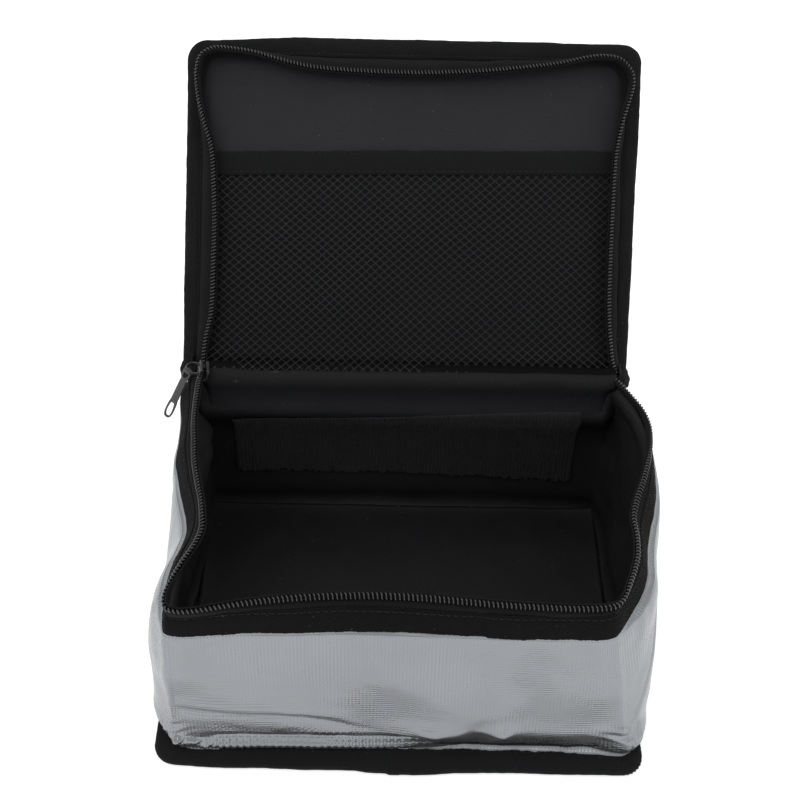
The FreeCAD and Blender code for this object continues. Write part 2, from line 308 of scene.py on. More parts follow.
class Batch:
    """Many small pieces joined in one mesh."""

    def __init__(self):
        self.V, self.F, self.U, self.n = [], [], [], 0

    def add(self, V, F, U):
        self.V.append(V)
        self.F.append(F + self.n)
        self.U.append(U)
        self.n += len(V)

    def build(self, name, mat):
        return make_mesh(name, np.concatenate(self.V), np.concatenate(self.F),
                         np.concatenate(self.U), mat)


def coil_mesh(name, K, D, mat, pitch=1.75, wide=1.3, high=0.75, wire=0.36):
    """Nylon zipper coil: a flattened helix of wire round a cord."""
    s = arclen(K)
    turns = int(s[-1] / pitch)
    ppt = 14
    th = 2 * np.pi * np.arange(turns * ppt + 1) / ppt
    # the legs lie square across, the advance is made round the two bends
    ss = s[-1] / turns * (th / (2 * np.pi) + 0.85 * np.sin(2 * th) / (4 * np.pi))
    path = np.stack([np.interp(ss, s, K[:, k]) for k in range(3)], 1)
    d = unit(np.stack([np.interp(ss, s, D[:, k]) for k in range(3)], 1))
    KT = unit(np.gradient(K, axis=0))
    T = unit(np.stack([np.interp(ss, s, KT[:, k]) for k in range(3)], 1))
    d = unit(d - (d * T).sum(1, keepdims=True) * T)
    n = np.cross(T, d)
    ct, st = np.cos(th), np.sin(th)
    # the head on the free side is a little fuller than the tape side
    P = path + d * (wide * ct)[:, None] + n * (high * st)[:, None]
    head = wire * (1 + 0.22 * np.clip(ct, 0, 1) ** 3)
    b = Batch()
    b.add(*tube(P, head, 6, T))
    ob = b.build(name, mat)
    # the filler cord inside the turns, a real part, made darker and matte so that it also paints the shade
    # between the turns
    KD = unit(D - (D * KT).sum(1, keepdims=True) * KT)
    V, F, U_ = tube(K, wide * 0.86, 10, np.cross(KT, KD), rad2=high * 0.62)
    cord = make_mesh(name + "_cord", V, F, U_, M_CORD_SHADED)
    return ob, cord


def stitches(b, P, n, length=2.3, gap=0.9, rad=0.22, lift=0.1):
    """Rows of thread stitches lying along P, on a surface with normal n."""
    s = arclen(P)
    k = int(s[-1] / (length + gap))
    for i in range(k):
        a = (i + 0.15) * (length + gap)
        ss = np.linspace(a, a + length, 5)
        q = np.stack([np.interp(ss, s, P[:, j]) for j in range(3)], 1)
        m = unit(np.stack([np.interp(ss, s, n[:, j]) for j in range(3)], 1))
        arch = np.array([-0.25, 0.06, 0.14, 0.06, -0.25])[:, None] + lift
        b.add(*tube(q + m * arch, rad, 4, m))


# ------------------------------------------------------------------ materials
def nmath(nt, op, a, b=None, c=None):
    n = nt.nodes.new("ShaderNodeMath")
    n.operation = op
    for i, v in enumerate((a, b, c)):
        if v is None:
            continue
        if isinstance(v, (int, float)):
            n.inputs[i].default_value = v
        else:
            nt.links.new(v, n.inputs[i])
    return n.outputs[0]


def weave_height(nt, u, v, kind, p):
    k = 2 * math.pi / p
    if kind == "grid":
        a = nmath(nt, "ABSOLUTE", nmath(nt, "COSINE", nmath(nt, "MULTIPLY", u, k / 2)))
        b = nmath(nt, "ABSOLUTE", nmath(nt, "COSINE", nmath(nt, "MULTIPLY", v, k / 2)))
        a = nmath(nt, "POWER", a, 5.0)
        b = nmath(nt, "POWER", b, 5.0)
        return nmath(nt, "MAXIMUM", a, b)
    if kind == "patch":
        # fine upright and level yarns under a foil skin; here one shows
        # through, there the other
        tx = nt.nodes.new("ShaderNodeTexCoord")
        out = []
        for w, seed, sh in ((u, 3.1, 34.0), (v, 8.7, 26.0)):
            mp = nt.nodes.new("ShaderNodeMapping")
            mp.inputs["Location"].default_value = (seed, seed * 2, seed)
            nt.links.new(tx.outputs["Object"], mp.inputs["Vector"])
            nz = nt.nodes.new("ShaderNodeTexNoise")
            nz.inputs["Scale"].default_value = sh
            nz.inputs["Detail"].default_value = 2.0
            nt.links.new(mp.outputs[0], nz.inputs["Vector"])
            m = nmath(nt, "MULTIPLY_ADD", nz.outputs[0], 2.8, -0.85)
            m.node.use_clamp = True
            c = nmath(nt, "MULTIPLY_ADD",
                      nmath(nt, "COSINE", nmath(nt, "MULTIPLY", w, k)), 0.5, 0.5)
            out.append(nmath(nt, "MULTIPLY", c, m))
        return nmath(nt, "MAXIMUM", out[0], out[1])
    if kind == "plain":
        a = nmath(nt, "SINE", nmath(nt, "MULTIPLY", u, k))
        b = nmath(nt, "SINE", nmath(nt, "MULTIPLY", v, k))
        return nmath(nt, "MULTIPLY_ADD", nmath(nt, "MULTIPLY", a, b), 0.5, 0.5)
    if kind == "twill":
        w = nmath(nt, "ADD", u, v)
        a = nmath(nt, "SINE", nmath(nt, "MULTIPLY", w, k))
        return nmath(nt, "MULTIPLY_ADD", a, 0.5, 0.5)
    if kind == "herring":
        t = nmath(nt, "PINGPONG", v, p * 1.6)
        w = nmath(nt, "ADD", u, t)
        a = nmath(nt, "SINE", nmath(nt, "MULTIPLY", w, k))
        return nmath(nt, "MULTIPLY_ADD", a, 0.5, 0.5)
    if kind == "rib":
        a = nmath(nt, "SINE", nmath(nt, "MULTIPLY", u, k))
        b = nmath(nt, "SINE", nmath(nt, "MULTIPLY", v, k * 1.7))
        a = nmath(nt, "MULTIPLY_ADD", a, 0.4, 0.45)
        return nmath(nt, "MULTIPLY_ADD", b, 0.15, a)
    raise ValueError(kind)


def fabric(name, base, rough, kind="plain", pitch=0.6, depth=0.12, metallic=0.0,
           sheen=0.0, vary=0.25, spec=0.3, lint=0.0, coarse=0.0, tint=None,
           rough_vary=0.08, fade=0.0, painted_height_shade=None):
    m = bpy.data.materials.new(name)
    m.use_nodes = True
    nt = m.node_tree
    bsdf = nt.nodes["Principled BSDF"]
    tex = nt.nodes.new("ShaderNodeTexCoord")
    uvn = nt.nodes.new("ShaderNodeUVMap")
    sep = nt.nodes.new("ShaderNodeSeparateXYZ")
    nt.links.new(uvn.outputs["UV"], sep.inputs[0])
    u = nmath(nt, "MULTIPLY", sep.outputs[0], 10.0)
    v = nmath(nt, "MULTIPLY", sep.outputs[1], 10.0)
    # slow wander so that threads aren't ruler straight
    wn = nt.nodes.new("ShaderNodeTexNoise")
    wn.inputs["Scale"].default_value = 60.0
    wn.inputs["Detail"].default_value = 2.0
    nt.links.new(tex.outputs["Object"], wn.inputs["Vector"])
    _wa = pitch * (0.35 if kind == "patch" else 0.9)
    wob = nmath(nt, "MULTIPLY_ADD", wn.outputs[0], _wa, -_wa / 2)
    u2 = nmath(nt, "ADD", u, wob)
    v2 = nmath(nt, "ADD", v, wob)
    h = weave_height(nt, u2, v2, kind, pitch)
    # cloudy colour variation
    big = nt.nodes.new("ShaderNodeTexNoise")
    big.inputs["Scale"].default_value = 28.0
    big.inputs["Detail"].default_value = 5.0
    big.inputs["Roughness"].default_value = 0.6
    nt.links.new(tex.outputs["Object"], big.inputs["Vector"])
    fine = nt.nodes.new("ShaderNodeTexNoise")
    fine.inputs["Scale"].default_value = 1500.0
    fine.inputs["Detail"].default_value = 2.0
    nt.links.new(tex.outputs["Object"], fine.inputs["Vector"])
    k1 = nmath(nt, "MULTIPLY_ADD", big.outputs[0], 2 * vary, 1 - vary)
    # painted shade: the colour follows the weave height, lighter on the yarn tops and darker in the
    # grooves
    weave_shade = nmath(nt, "MULTIPLY_ADD", h, 0.95, 0.50)
    if metallic > 0.3:
        weave_shade = nmath(nt, "MULTIPLY_ADD", h, 0.13, 0.93)
    k3 = nmath(nt, "MULTIPLY_ADD", fine.outputs[0], 0.5, 0.75)
    k = nmath(nt, "MULTIPLY", k1, weave_shade)
    if metallic < 0.3:
        k = nmath(nt, "MULTIPLY", k, k3)
    if painted_height_shade:
        # painted light and shade: the colour is scaled by height, from the first factor low down to the
        # second higher up
        zz = nt.nodes.new("ShaderNodeSeparateXYZ")
        nt.links.new(tex.outputs["Object"], zz.inputs[0])
        mr = nt.nodes.new("ShaderNodeMapRange")
        mr.interpolation_type = "SMOOTHSTEP"
        nt.links.new(zz.outputs[2], mr.inputs[0])
        for i_, v_ in zip((1, 2, 3, 4), painted_height_shade):
            mr.inputs[i_].default_value = v_
        k = nmath(nt, "MULTIPLY", k, mr.outputs[0])
    rgb = nt.nodes.new("ShaderNodeRGB")
    rgb.outputs[0].default_value = (*base, 1)
    mul = nt.nodes.new("ShaderNodeVectorMath")
    mul.operation = "SCALE"
    nt.links.new(rgb.outputs[0], mul.inputs[0])
    nt.links.new(k, mul.inputs["Scale"])
    col = mul.outputs[0]
    if lint > 0:
        ln = nt.nodes.new("ShaderNodeTexNoise")
        ln.inputs["Scale"].default_value = 640.0
        ln.inputs["Detail"].default_value = 1.0
        nt.links.new(tex.outputs["Object"], ln.inputs["Vector"])
        t = nmath(nt, "GREATER_THAN", ln.outputs[0], 1.0 - lint)
        mix = nt.nodes.new("ShaderNodeMix")
        mix.data_type = "RGBA"
        nt.links.new(t, mix.inputs["Factor"])
        nt.links.new(col, mix.inputs["A"])
        mix.inputs["B"].default_value = (0.045, 0.045, 0.047, 1)
        col = mix.outputs["Result"]
    nt.links.new(col, bsdf.inputs["Base Color"])
    r = nmath(nt, "MULTIPLY_ADD", big.outputs[0], 2 * rough_vary,
              rough - rough_vary)
    nt.links.new(r, bsdf.inputs["Roughness"])
    bsdf.inputs["Metallic"].default_value = metallic
    bsdf.inputs["Specular IOR Level"].default_value = spec
    bsdf.inputs["Sheen Weight"].default_value = sheen
    bsdf.inputs["Sheen Roughness"].default_value = 0.5
    bump = nt.nodes.new("ShaderNodeBump")
    bump.inputs["Strength"].default_value = 1.0
    bump.inputs["Distance"].default_value = depth * MM
    nt.links.new(h, bump.inputs["Height"])
    if coarse > 0:
        cn = nt.nodes.new("ShaderNodeTexNoise")
        cn.inputs["Scale"].default_value = 190.0
        cn.inputs["Detail"].default_value = 4.0
        nt.links.new(tex.outputs["Object"], cn.inputs["Vector"])
        b2 = nt.nodes.new("ShaderNodeBump")
        b2.inputs["Strength"].default_value = 1.0
        b2.inputs["Distance"].default_value = coarse * MM
        nt.links.new(cn.outputs[0], b2.inputs["Height"])
        nt.links.new(bump.outputs[0], b2.inputs["Normal"])
        bump = b2
    nt.links.new(bump.outputs[0], bsdf.inputs["Normal"])
    return m


def plain_mat(name, base, rough, metallic=0.0, spec=0.5, noise=0.0, coat=0.0,
              scale=900.0):
    m = bpy.data.materials.new(name)
    m.use_nodes = True
    nt = m.node_tree
    bsdf = nt.nodes["Principled BSDF"]
    tex = nt.nodes.new("ShaderNodeTexCoord")
    n = nt.nodes.new("ShaderNodeTexNoise")
    n.inputs["Scale"].default_value = scale
    n.inputs["Detail"].default_value = 4.0
    nt.links.new(tex.outputs["Object"], n.inputs["Vector"])
    rgb = nt.nodes.new("ShaderNodeRGB")
    rgb.outputs[0].default_value = (*base, 1)
    mul = nt.nodes.new("ShaderNodeVectorMath")
    mul.operation = "SCALE"
    nt.links.new(rgb.outputs[0], mul.inputs[0])
    nt.links.new(nmath(nt, "MULTIPLY_ADD", n.outputs[0], 0.5, 0.75),
                 mul.inputs["Scale"])
    nt.links.new(mul.outputs[0], bsdf.inputs["Base Color"])
    nt.links.new(nmath(nt, "MULTIPLY_ADD", n.outputs[0], 0.2, rough - 0.1),
                 bsdf.inputs["Roughness"])
    bsdf.inputs["Metallic"].default_value = metallic
    bsdf.inputs["Specular IOR Level"].default_value = spec
    bsdf.inputs["Coat Weight"].default_value = coat
    if noise > 0:
        bump = nt.nodes.new("ShaderNodeBump")
        bump.inputs["Distance"].default_value = noise * MM
        nt.links.new(n.outputs[0], bump.inputs["Height"])
        nt.links.new(bump.outputs[0], bsdf.inputs["Normal"])
    return m


M_SILVER = fabric("silver_cloth", (0.255, 0.266, 0.281), 0.28, "patch", 1.5, 0.17,
                  metallic=0.86, vary=0.05, spec=0.5, rough_vary=0.09)
M_WEB = fabric("black_binding", (0.0068, 0.0068, 0.0070), 0.80, "twill", 1.15, 0.26,
               sheen=0.02, vary=0.25, spec=0.12, lint=0.225)
M_BASEWEB = fabric("black_base_binding", (0.0080, 0.0080, 0.0088), 0.86, "twill",
                   0.95, 0.12, sheen=0.03, vary=0.25, spec=0.12, lint=0.225)
M_TAPE = fabric("black_zipper_tape", (0.0052, 0.0052, 0.0053), 0.85, "herring", 0.9,
                0.22, sheen=0.02, vary=0.2, spec=0.12)
M_LINING = fabric("black_lining", (0.0066, 0.0066, 0.0076), 0.58, "plain", 0.55,
                  0.06, vary=0.25, spec=0.2, lint=0.225)
# painted light: a brighter copy of the lining for the walls
M_WALLLIN_LIT = fabric("black_wall_lining_painted_light", (0.0105, 0.0104, 0.0116), 0.56, "plain", 0.55,
                   0.06, vary=0.25, spec=0.25, lint=0.225)
# painted light and shade: a darker copy of the lining, graded by height from bright low down to dark at
# its top
M_HINGELIN_SHADED = fabric("black_hinge_lining", (0.0052, 0.0053, 0.0062), 0.62, "plain", 0.55,
                    0.06, vary=0.25, spec=0.16, lint=0.225,
                    painted_height_shade=(0.0855, 0.0965, 2.15, 0.72))
# painted shade: a very dark copy of the lining for the strip behind the foot of the net
M_HINGE_TOP_SHADE = fabric("black_hinge_lining_top_painted_shade", (0.0022, 0.0022, 0.0026), 0.75, "plain",
                    0.5, 0.05, vary=0.25, spec=0.06)
M_BAND = fabric("black_rim_band", (0.0052, 0.0052, 0.0053), 0.88, "twill", 1.1, 0.26,
                sheen=0.0, vary=0.25, spec=0.08, lint=0.225)
M_LIDLIN = fabric("black_lid_lining", (0.0066, 0.0065, 0.0085), 0.62, "plain", 0.5,
                  0.05, vary=0.15, spec=0.26, lint=0.215)
# painted shade: a darker copy of the lid lining for the part behind the net pocket
M_LIDSHADE = fabric("black_lid_lining_painted_shade", (0.0044, 0.0044, 0.0052), 0.70, "plain", 0.5,
                    0.05, vary=0.25, spec=0.12)
M_HEM = fabric("black_pocket_hem", (0.0060, 0.0062, 0.0062), 0.85, "rib", 0.8, 0.12,
               sheen=0.02, vary=0.2, spec=0.12)
M_LOOP = fabric("black_loop_pile", (0.0125, 0.0120, 0.0134), 0.85, "rib", 0.7, 0.14,
                sheen=0.06, vary=0.35, spec=0.15, coarse=0.25)
M_HANDLE = fabric("black_handle_webbing", (0.0062, 0.0062, 0.0066), 0.82, "twill",
                  1.5, 0.25, sheen=0.03, vary=0.2, spec=0.15)
M_NET = plain_mat("black_net", (0.0078, 0.0081, 0.0092), 0.48, spec=0.36, noise=0.03)
M_COIL = plain_mat("black_coil", (0.0105, 0.0105, 0.011), 0.28, spec=0.62)
# painted shade: the cord is darker and more matte than the other black parts, standing in for the shade
# between the coil turns
M_CORD_SHADED = plain_mat("black_filler_cord_painted_shade", (0.0035, 0.0035, 0.0036), 0.9, spec=0.05)
M_THREAD = plain_mat("black_thread", (0.012, 0.012, 0.0125), 0.7, spec=0.25)
M_METAL = plain_mat("dark_painted_metal", (0.026, 0.026, 0.027), 0.40, metallic=0.20,
                    spec=0.5, noise=0.02, coat=0.15)
M_BOARD = plain_mat("grey_board", (0.32, 0.30, 0.27), 0.9, noise=0.1)
M_FIBRE = fabric("white_fibre", (0.62, 0.61, 0.58), 0.95, "plain", 1.3, 0.3,
                 vary=0.2, coarse=0.6)

SLOT = {s["node"]: s["material_slot"] for s in REC["subparts"]}


def place(ob, body, slot, *replaced):
    if replaced:
        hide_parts(*replaced)
    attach(ob, body)


# ------------------------------------------------------ rim, walls: the tables
# Along the rim from the left hinge corner, round the front, to the right hinge
# corner.  K is the coil's centre line, M the lower edge of the webbing band,
# B the seam on the base, b how far the wall bulges at half height (all mm).
RIM = np.array([
    # K x      y     z      M x     y     z     B x     y      b
    [-95.8,  68.3, 97.8, -104.4,  72.9, 85.5,  -97.6,  72.6,  0.5],
    [-96.7,  63.0, 98.2, -106.5,  65.6, 85.5,  -98.3,  66.0,  1.0],
    [-96.8,  55.0, 98.4, -105.5,  56.4, 85.3,  -98.5,  56.0,  1.2],
    [-96.6,  43.0, 98.2, -104.3,  45.0, 85.0,  -98.5,  43.0,  1.2],
    [-96.0,  33.0, 98.2, -104.0,  34.0, 85.0,  -98.5,  33.0,  1.8],
    [-94.8,  23.2, 98.2, -104.0,  23.0, 85.0,  -98.5,  23.0,  3.2],
    [-93.8,  14.0, 98.2, -102.0,  13.5, 85.0,  -98.5,  13.5,  4.8],
    [-92.1,   4.8, 98.2,  -99.9,   4.0, 85.0,  -98.5,   4.0,  7.5],
    [-90.1,  -4.0, 98.2,  -97.4,  -5.0, 84.8,  -98.5,  -5.0,  9.5],
    [-87.9, -12.8, 98.2,  -95.1, -13.0, 84.6,  -98.5, -13.0, 10.2],
    [-86.5, -21.4, 98.2,  -94.2, -20.5, 84.4,  -98.5, -21.0, 10.9],
    [-85.9, -30.0, 98.2,  -95.8, -29.5, 84.4,  -98.5, -30.0, 11.2],
    [-88.2, -38.8, 98.2,  -98.2, -37.5, 84.2,  -98.8, -38.0, 11.2],
    [-92.0, -48.2, 98.2,  -99.4, -46.5, 84.0,  -99.2, -47.0, 11.0],
    [-95.1, -57.6, 98.0,  -99.4, -56.5, 83.6,  -99.8, -57.0,  9.4],
    [-96.6, -65.6, 97.8,  -98.9, -66.0, 83.0,  -100.2, -65.0,  5.0],
    [-95.6, -71.0, 97.6,  -97.6, -71.9, 82.4,  -99.6, -70.6,  1.2],
    [-91.0, -72.9, 97.8,  -92.0, -73.7, 82.4,  -94.8, -72.6,  0.9],
    [-84.0, -72.5, 98.0,  -84.0, -73.5, 82.8,  -84.0, -72.8,  1.6],
    [-72.0, -70.0, 98.2,  -72.0, -73.0, 84.0,  -72.0, -72.2,  2.3],
    [-60.0, -67.7, 98.2,  -60.0, -72.7, 84.3,  -60.0, -71.7,  2.8],
    [-48.0, -65.8, 98.2,  -48.0, -72.3, 84.0,  -48.0, -71.5,  3.1],
    [-36.0, -64.5, 98.2,  -36.0, -72.0, 84.7,  -36.0, -71.5,  3.3],
    [ -24.0, -63.8, 98.2,  -24.0, -71.8, 85.4,  -24.0, -71.3,  3.3],
    [ -12.0, -63.4, 98.2,  -12.0, -71.7, 85.2,  -12.0, -71.2,  3.2],
    [   0.0, -63.7, 98.2,    0.0, -71.6, 84.8,    0.0, -71.3,  3.0],
    [  12.0, -64.4, 98.2,   12.0, -71.7, 84.1,   12.0, -71.1,  3.0],
    [  24.0, -65.5, 98.2,   24.0, -71.9, 84.0,   24.0, -71.1,  3.0],
    [  36.0, -66.7, 98.2,   36.0, -72.1, 83.9,   36.0, -71.1,  2.8],
    [  48.0, -67.4, 98.2,   48.0, -72.4, 83.9,   48.0, -71.1,  2.5],
    [  60.0, -67.9, 98.2,   60.0, -72.8, 84.2,   60.0, -71.1,  2.2],
    [  72.0, -68.1, 98.2,   72.0, -73.2, 84.9,   74.0, -71.8,  1.8],
    [  80.0, -67.5, 98.1,   80.5, -73.3, 85.0,   85.0, -72.0,  1.2],
    [ 85.3, -65.8, 98.0,   86.6, -71.0, 85.0,   99.8, -73.4,  0.4],
    [ 89.0, -60.8, 98.0,   91.6, -62.7, 85.0,  102.6, -66.0,  4.5],
    [ 91.6, -54.5, 98.0,   96.3, -54.7, 85.0,  101.2, -57.0,  8.0],
    [ 94.6, -46.2, 98.0,  100.0, -46.7, 85.0,   99.6, -48.0,  9.5],
    [ 96.7, -38.0, 98.0,  102.6, -38.5, 85.0,   98.8, -39.0,  9.5],
    [ 97.4, -28.5, 98.0,  103.4, -29.5, 85.0,   98.5, -30.0,  9.5],
    [ 97.2, -18.5, 98.0,  104.8, -20.5, 85.0,   98.5, -21.0,  9.0],
    [ 99.4,  -8.5, 98.0,  107.0, -11.5, 85.2,   98.5, -12.0,  8.0],
    [102.9,   1.4, 98.2,  109.6,  -2.0, 85.4,   98.5,  -2.0,  7.0],
    [105.7,  10.4, 98.2,  111.4,   7.0, 85.4,   98.5,   8.0,  5.5],
    [108.1,  19.6, 98.2,  112.2,  17.0, 85.4,   98.5,  18.0,  4.5],
    [109.5,  29.0, 98.2,  112.5,  29.0, 85.4,   98.5,  29.0,  3.5],
    [109.7,  38.6, 98.2,  111.8,  40.0, 85.4,   98.5,  40.0,  3.0],
    [107.6,  48.4, 98.2,  109.6,  51.0, 85.4,   98.5,  51.0,  2.5],
    [103.1,  58.2, 98.2,  105.6,  62.0, 85.4,   98.3,  62.5,  1.5],
    [ 98.0,  68.3, 97.8,  100.0,  73.3, 85.5,   97.0,  72.6,  0.5],
])
RIM[:, [0, 3, 6]] *= SX
RIM[:, [1, 4, 7]] *= SY
RIM[:, [2, 5]] += DZ
NU = 620
_t = arclen(RIM[:, 3:6])
_dense = hermite(RIM, _t, np.linspace(0, _t[-1], 6000))
U = resample(_dense, NU, slice(3, 6))          # even along the band
K, M, B2, BUL = U[:, 0:3], U[:, 3:6], U[:, 6:8], U[:, 8]
B = np.column_stack([B2, np.full(NU, _bhi[2] + 0.25)])
US = arclen(M)                                  # distance along the band
iL = int(np.argmin(np.abs(M[:, 0] + 97.6 * SX) + np.abs(M[:, 1] + 71.9 * SY)))
iR = int(np.argmin(np.abs(M[:, 0] - 86.0 * SX) + np.abs(M[:, 1] + 71.4 * SY)))

# the band's top edge N: 11 mm up from M, leaning towards the coil
TAN = unit(np.gradient(M, axis=0))
OUT = unit(np.cross(TAN, np.array([0, 0, 1.0])))        # outward, level
toK = K - M
lean = np.clip(-(toK * OUT).sum(1) / 12.0, -0.1, 0.9)
NDIR = unit(np.array([0, 0, 1.0]) - OUT * (0.16 + 0.42 * lean)[:, None])
BANDW = 11.2
N_ = M + NDIR * BANDW

# back wall, from the right hinge corner to the left one
NB = 170
bxr = np.linspace(1, -1, NB + 2)[1:-1]
xr, xl = M[-1, 0], M[0, 0]
xm = (xr + xl) / 2 + (xr - xl) / 2 * bxr
yback = _fhi[1] + 3.4
MB = np.column_stack([xm, np.full(NB, M[0, 1] + 0.0) + 1.2 * (1 - bxr**4) * 0.6,
                      np.full(NB, M[0, 2])])
xb = np.linspace(B[-1, 0], B[0, 0], NB + 2)[1:-1]
BB = np.column_stack([xb, np.full(NB, B[0, 1] + 0.2), np.full(NB, B[0, 2])])
BULB = 3.5 * (1 - bxr**2) ** 0.6

Mc = np.concatenate([M, MB])
Bc = np.concatenate([B, BB])
BULc = np.concatenate([BUL, BULB])
NC = len(Mc)
TANc = unit(np.roll(Mc, -1, 0) - np.roll(Mc, 1, 0))
OUTc = unit(np.cross(TANc, np.array([0, 0, 1.0])))
Sc = np.concatenate([[0], np.cumsum(np.linalg.norm(np.diff(Mc, axis=0), axis=1))])
NDc = np.concatenate([NDIR, np.tile(np.array([0, 0.02, 1.0]), (NB, 1))])
NDc = unit(NDc)
sL, sR = Sc[iL], Sc[iR]
_onL = 1 - sstep(sL - 10, sL + 4, Sc)
_onR = sstep(sR - 4, sR + 8, Sc) * (1 - sstep(US[-1] - 4, US[-1] + 4, Sc))
PA = 0.85 - 0.25 * _onL - 0.25 * _onR
PB = 0.80 - 0.35 * _onL - 0.48 * _onR
HW = M[0, 2] - B[0, 2]                                   # wall height


def wall(off, v_rows, detail=1.0, n_top=None):
    """Rows of the wall surface from the base (v=0) to the band edge (v=1),
    off mm outside the silver's mean surface."""
    v = v_rows[:, None]
    P = Bc[None] * (1 - v[..., None]) + Mc[None] * v[..., None]
    h = v * HW
    s = Sc[None]
    bul = BULc[None] * np.clip(np.sin(np.pi * np.clip(v, 0, 1) ** PA[None]),
                               0, 1) ** PB[None]
    # wide soft wander, pulled flat at the base and the band
    env = np.sin(np.pi * np.clip(v, 0, 1)) ** 0.6
    w = N1(s / 46.0, h / 30.0) * 1.5 + N2(s / 19.0, h / 17.0) * 0.55
    w = w * env
    front = sstep(sL + 1, sL + 9, s) * (1 - sstep(sR - 6, sR + 2, s))
    # off the front the cloth rolls out over the base seam and turns up
    roll = (2.0 * gauss(h, 7.5, 5.5) - 1.4 * gauss(h, 0.5, 1.8)) * (1 - front)
    d = bul + w * detail + roll - 0.7 * sstep(HW - 1.5, HW, h)
    if detail > 0:
        # gathers under the band
        g = N3(s / 4.6, h / 40.0) * 0.42 * sstep(HW - 16, HW - 3, h)
        xf = s - sL
        # long crease low on the left of the front
        crease_h = 31.5 - 2.5 * sstep(0, 55, xf) - 12.0 * sstep(44, 92, xf)
        fade = (1 - sstep(50, 98, xf)) * front
        g += -1.0 * fade * gauss(h, crease_h - 1.0, 2.1)
        # rows of dimples where the cloth is pressed on the seam's inner layers
        dz = front * (1 - sstep(60, 118, xf)) * sstep(8, 20, xf)
        g += 0.22 * dz * np.sin(2 * np.pi * s / 3.1) * np.sin(2 * np.pi * h / 3.0) \
            * sstep(10.5, 13, h) * (1 - sstep(19, 24, h))
        g += 1.2 * fade * gauss(h, crease_h + 4.5, 4.0)
        g += 0.7 * fade * gauss(h, crease_h - 8.0, 5.0)
        # stitched step above the base seam, the thread dimpling the foil
        ledge = front * (1 - sstep(96, 128, xf)) * sstep(10, 20, xf)
        g += ledge * (np.interp(h, [0, 1.8, 8.7, 9.4, 11.0, 15.0, 22.0],
                                [1.7, 1.5, -2.4, -2.4, -0.4, 0.2, 0.0]))
        g -= 0.4 * ledge * gauss(h, 4.9, 0.5)
        g += 0.9 * ledge * (np.abs(np.sin(np.pi * s / 3.1)) ** 0.6 - 0.5) \
            * sstep(0.8, 1.8, h) * (1 - sstep(5.8, 7.2, h))
        # under-turn on the right of the front: a lip, then in to the seam
        under = front * sstep(84, 112, xf)
        lip = 13.2 + 1.2 * N2(s / 21.0) + 0.8 * N4(s / 7.0)
        deep = 1 + 0.55 * N1(s / 13.0, 3.3) + 0.7 * gauss(xf, 127, 6) \
            + 0.25 * gauss(xf, 160, 12)
        g += under * (1.6 * gauss(h, lip + 4.0, 6.0)
                      - 2.2 * (0.6 + 0.4 * deep) * (1 - sstep(-9.0, 1.15 * lip, h)))
        for xc, wd, am in ((113, 8.0, 1.9), (143, 4.5, 2.1)):
            g += am * front * gauss(xf, xc, wd) * gauss(h, lip + 4.0, 5.0)
        g -= 1.2 * front * gauss(xf, 131, 5.0) * gauss(h, lip + 2.0, 6.0)
        g += under * 0.20 * N5(s / 3.3, h / 2.6) * (1 - sstep(6, 16, h))
        # small crinkles all round, stronger low down
        low = 0.25 + 0.75 * gauss(h, 6, 12)
        g += 0.24 * low * N5(s / 5.5, h / 3.6) * (1 - 0.75 * ledge * (1 - sstep(8, 11, h)))
        # crumpled tucks where the corners are gathered into the base seam
        for sc, amp, seed, lft in ((sL, 1.1, 0.7, 1), (sR, 1.3, 2.1, -1)):
            dx = (s - sc) * lft
            rr = np.sqrt((dx + 1.5) ** 2 + (h - 0.5) ** 2) + 1e-6
            an = np.arctan2(h - 0.5, dx + 1.5)
            saw = np.abs(((an * 2.1 + seed + 0.35 * N6(an * 2, rr / 5)) % 1.0)
                         - 0.5) * 2 - 0.45
            reach = gauss(rr, 6.0, 4.8) * sstep(1.0, 4.0, rr)
            g += amp * saw * reach
            fl = ((dx + 3) * 0.8 - (h - 9)) / 3.2
            g += 0.9 * gauss(dx, 1.0, 6.0) * gauss(h, 13, 7) \
                * (np.abs((fl % 2.0) - 1.0) - 0.5)
        # a folded flap lying to the right at the left corner
        flap = sstep(1.0, 3.0, xf) * (1 - sstep(14, 19, xf + 0.5 * h)) \
            * (1 - sstep(8.6 - 0.16 * xf, 10.0 - 0.16 * xf, h)) * sstep(1.2, 2.4, h)
        fw = ((xf - 0.8 * h) / 6.2) % 1.0
        g += (1.5 + 1.5 * (np.minimum(fw / 0.75, (1 - fw) / 0.25) - 0.5)) * flap
        # crisp upright folds at the two front corners
        g += 1.1 * gauss(s, sL + 1.0, 1.6) * sstep(14, 30, h)
        g += 0.9 * gauss(s, sR + 0.5, 1.6) * sstep(10, 24, h)
        # flat three-cornered facet beside the right front corner's foot
        tri = sstep(sR + 1, sR + 4, s) * (1 - sstep(sR + 16, sR + 20, s + 0.35 * h))
        g += 1.0 * tri * (1 - sstep(22, 34, h)) * (np.abs((((s - sR) - 0.45 * h) / 7.0) % 1.0
                                                       - 0.5) * 2 - 0.5)
        # a long pull line running down to that corner
        g -= 1.1 * gauss((s - sR) * 0.8 - (h - 22) * 0.55, 4.0, 1.5) \
            * sstep(sR + 3, sR + 8, s) * (1 - sstep(sR + 30, sR + 44, s)) * env
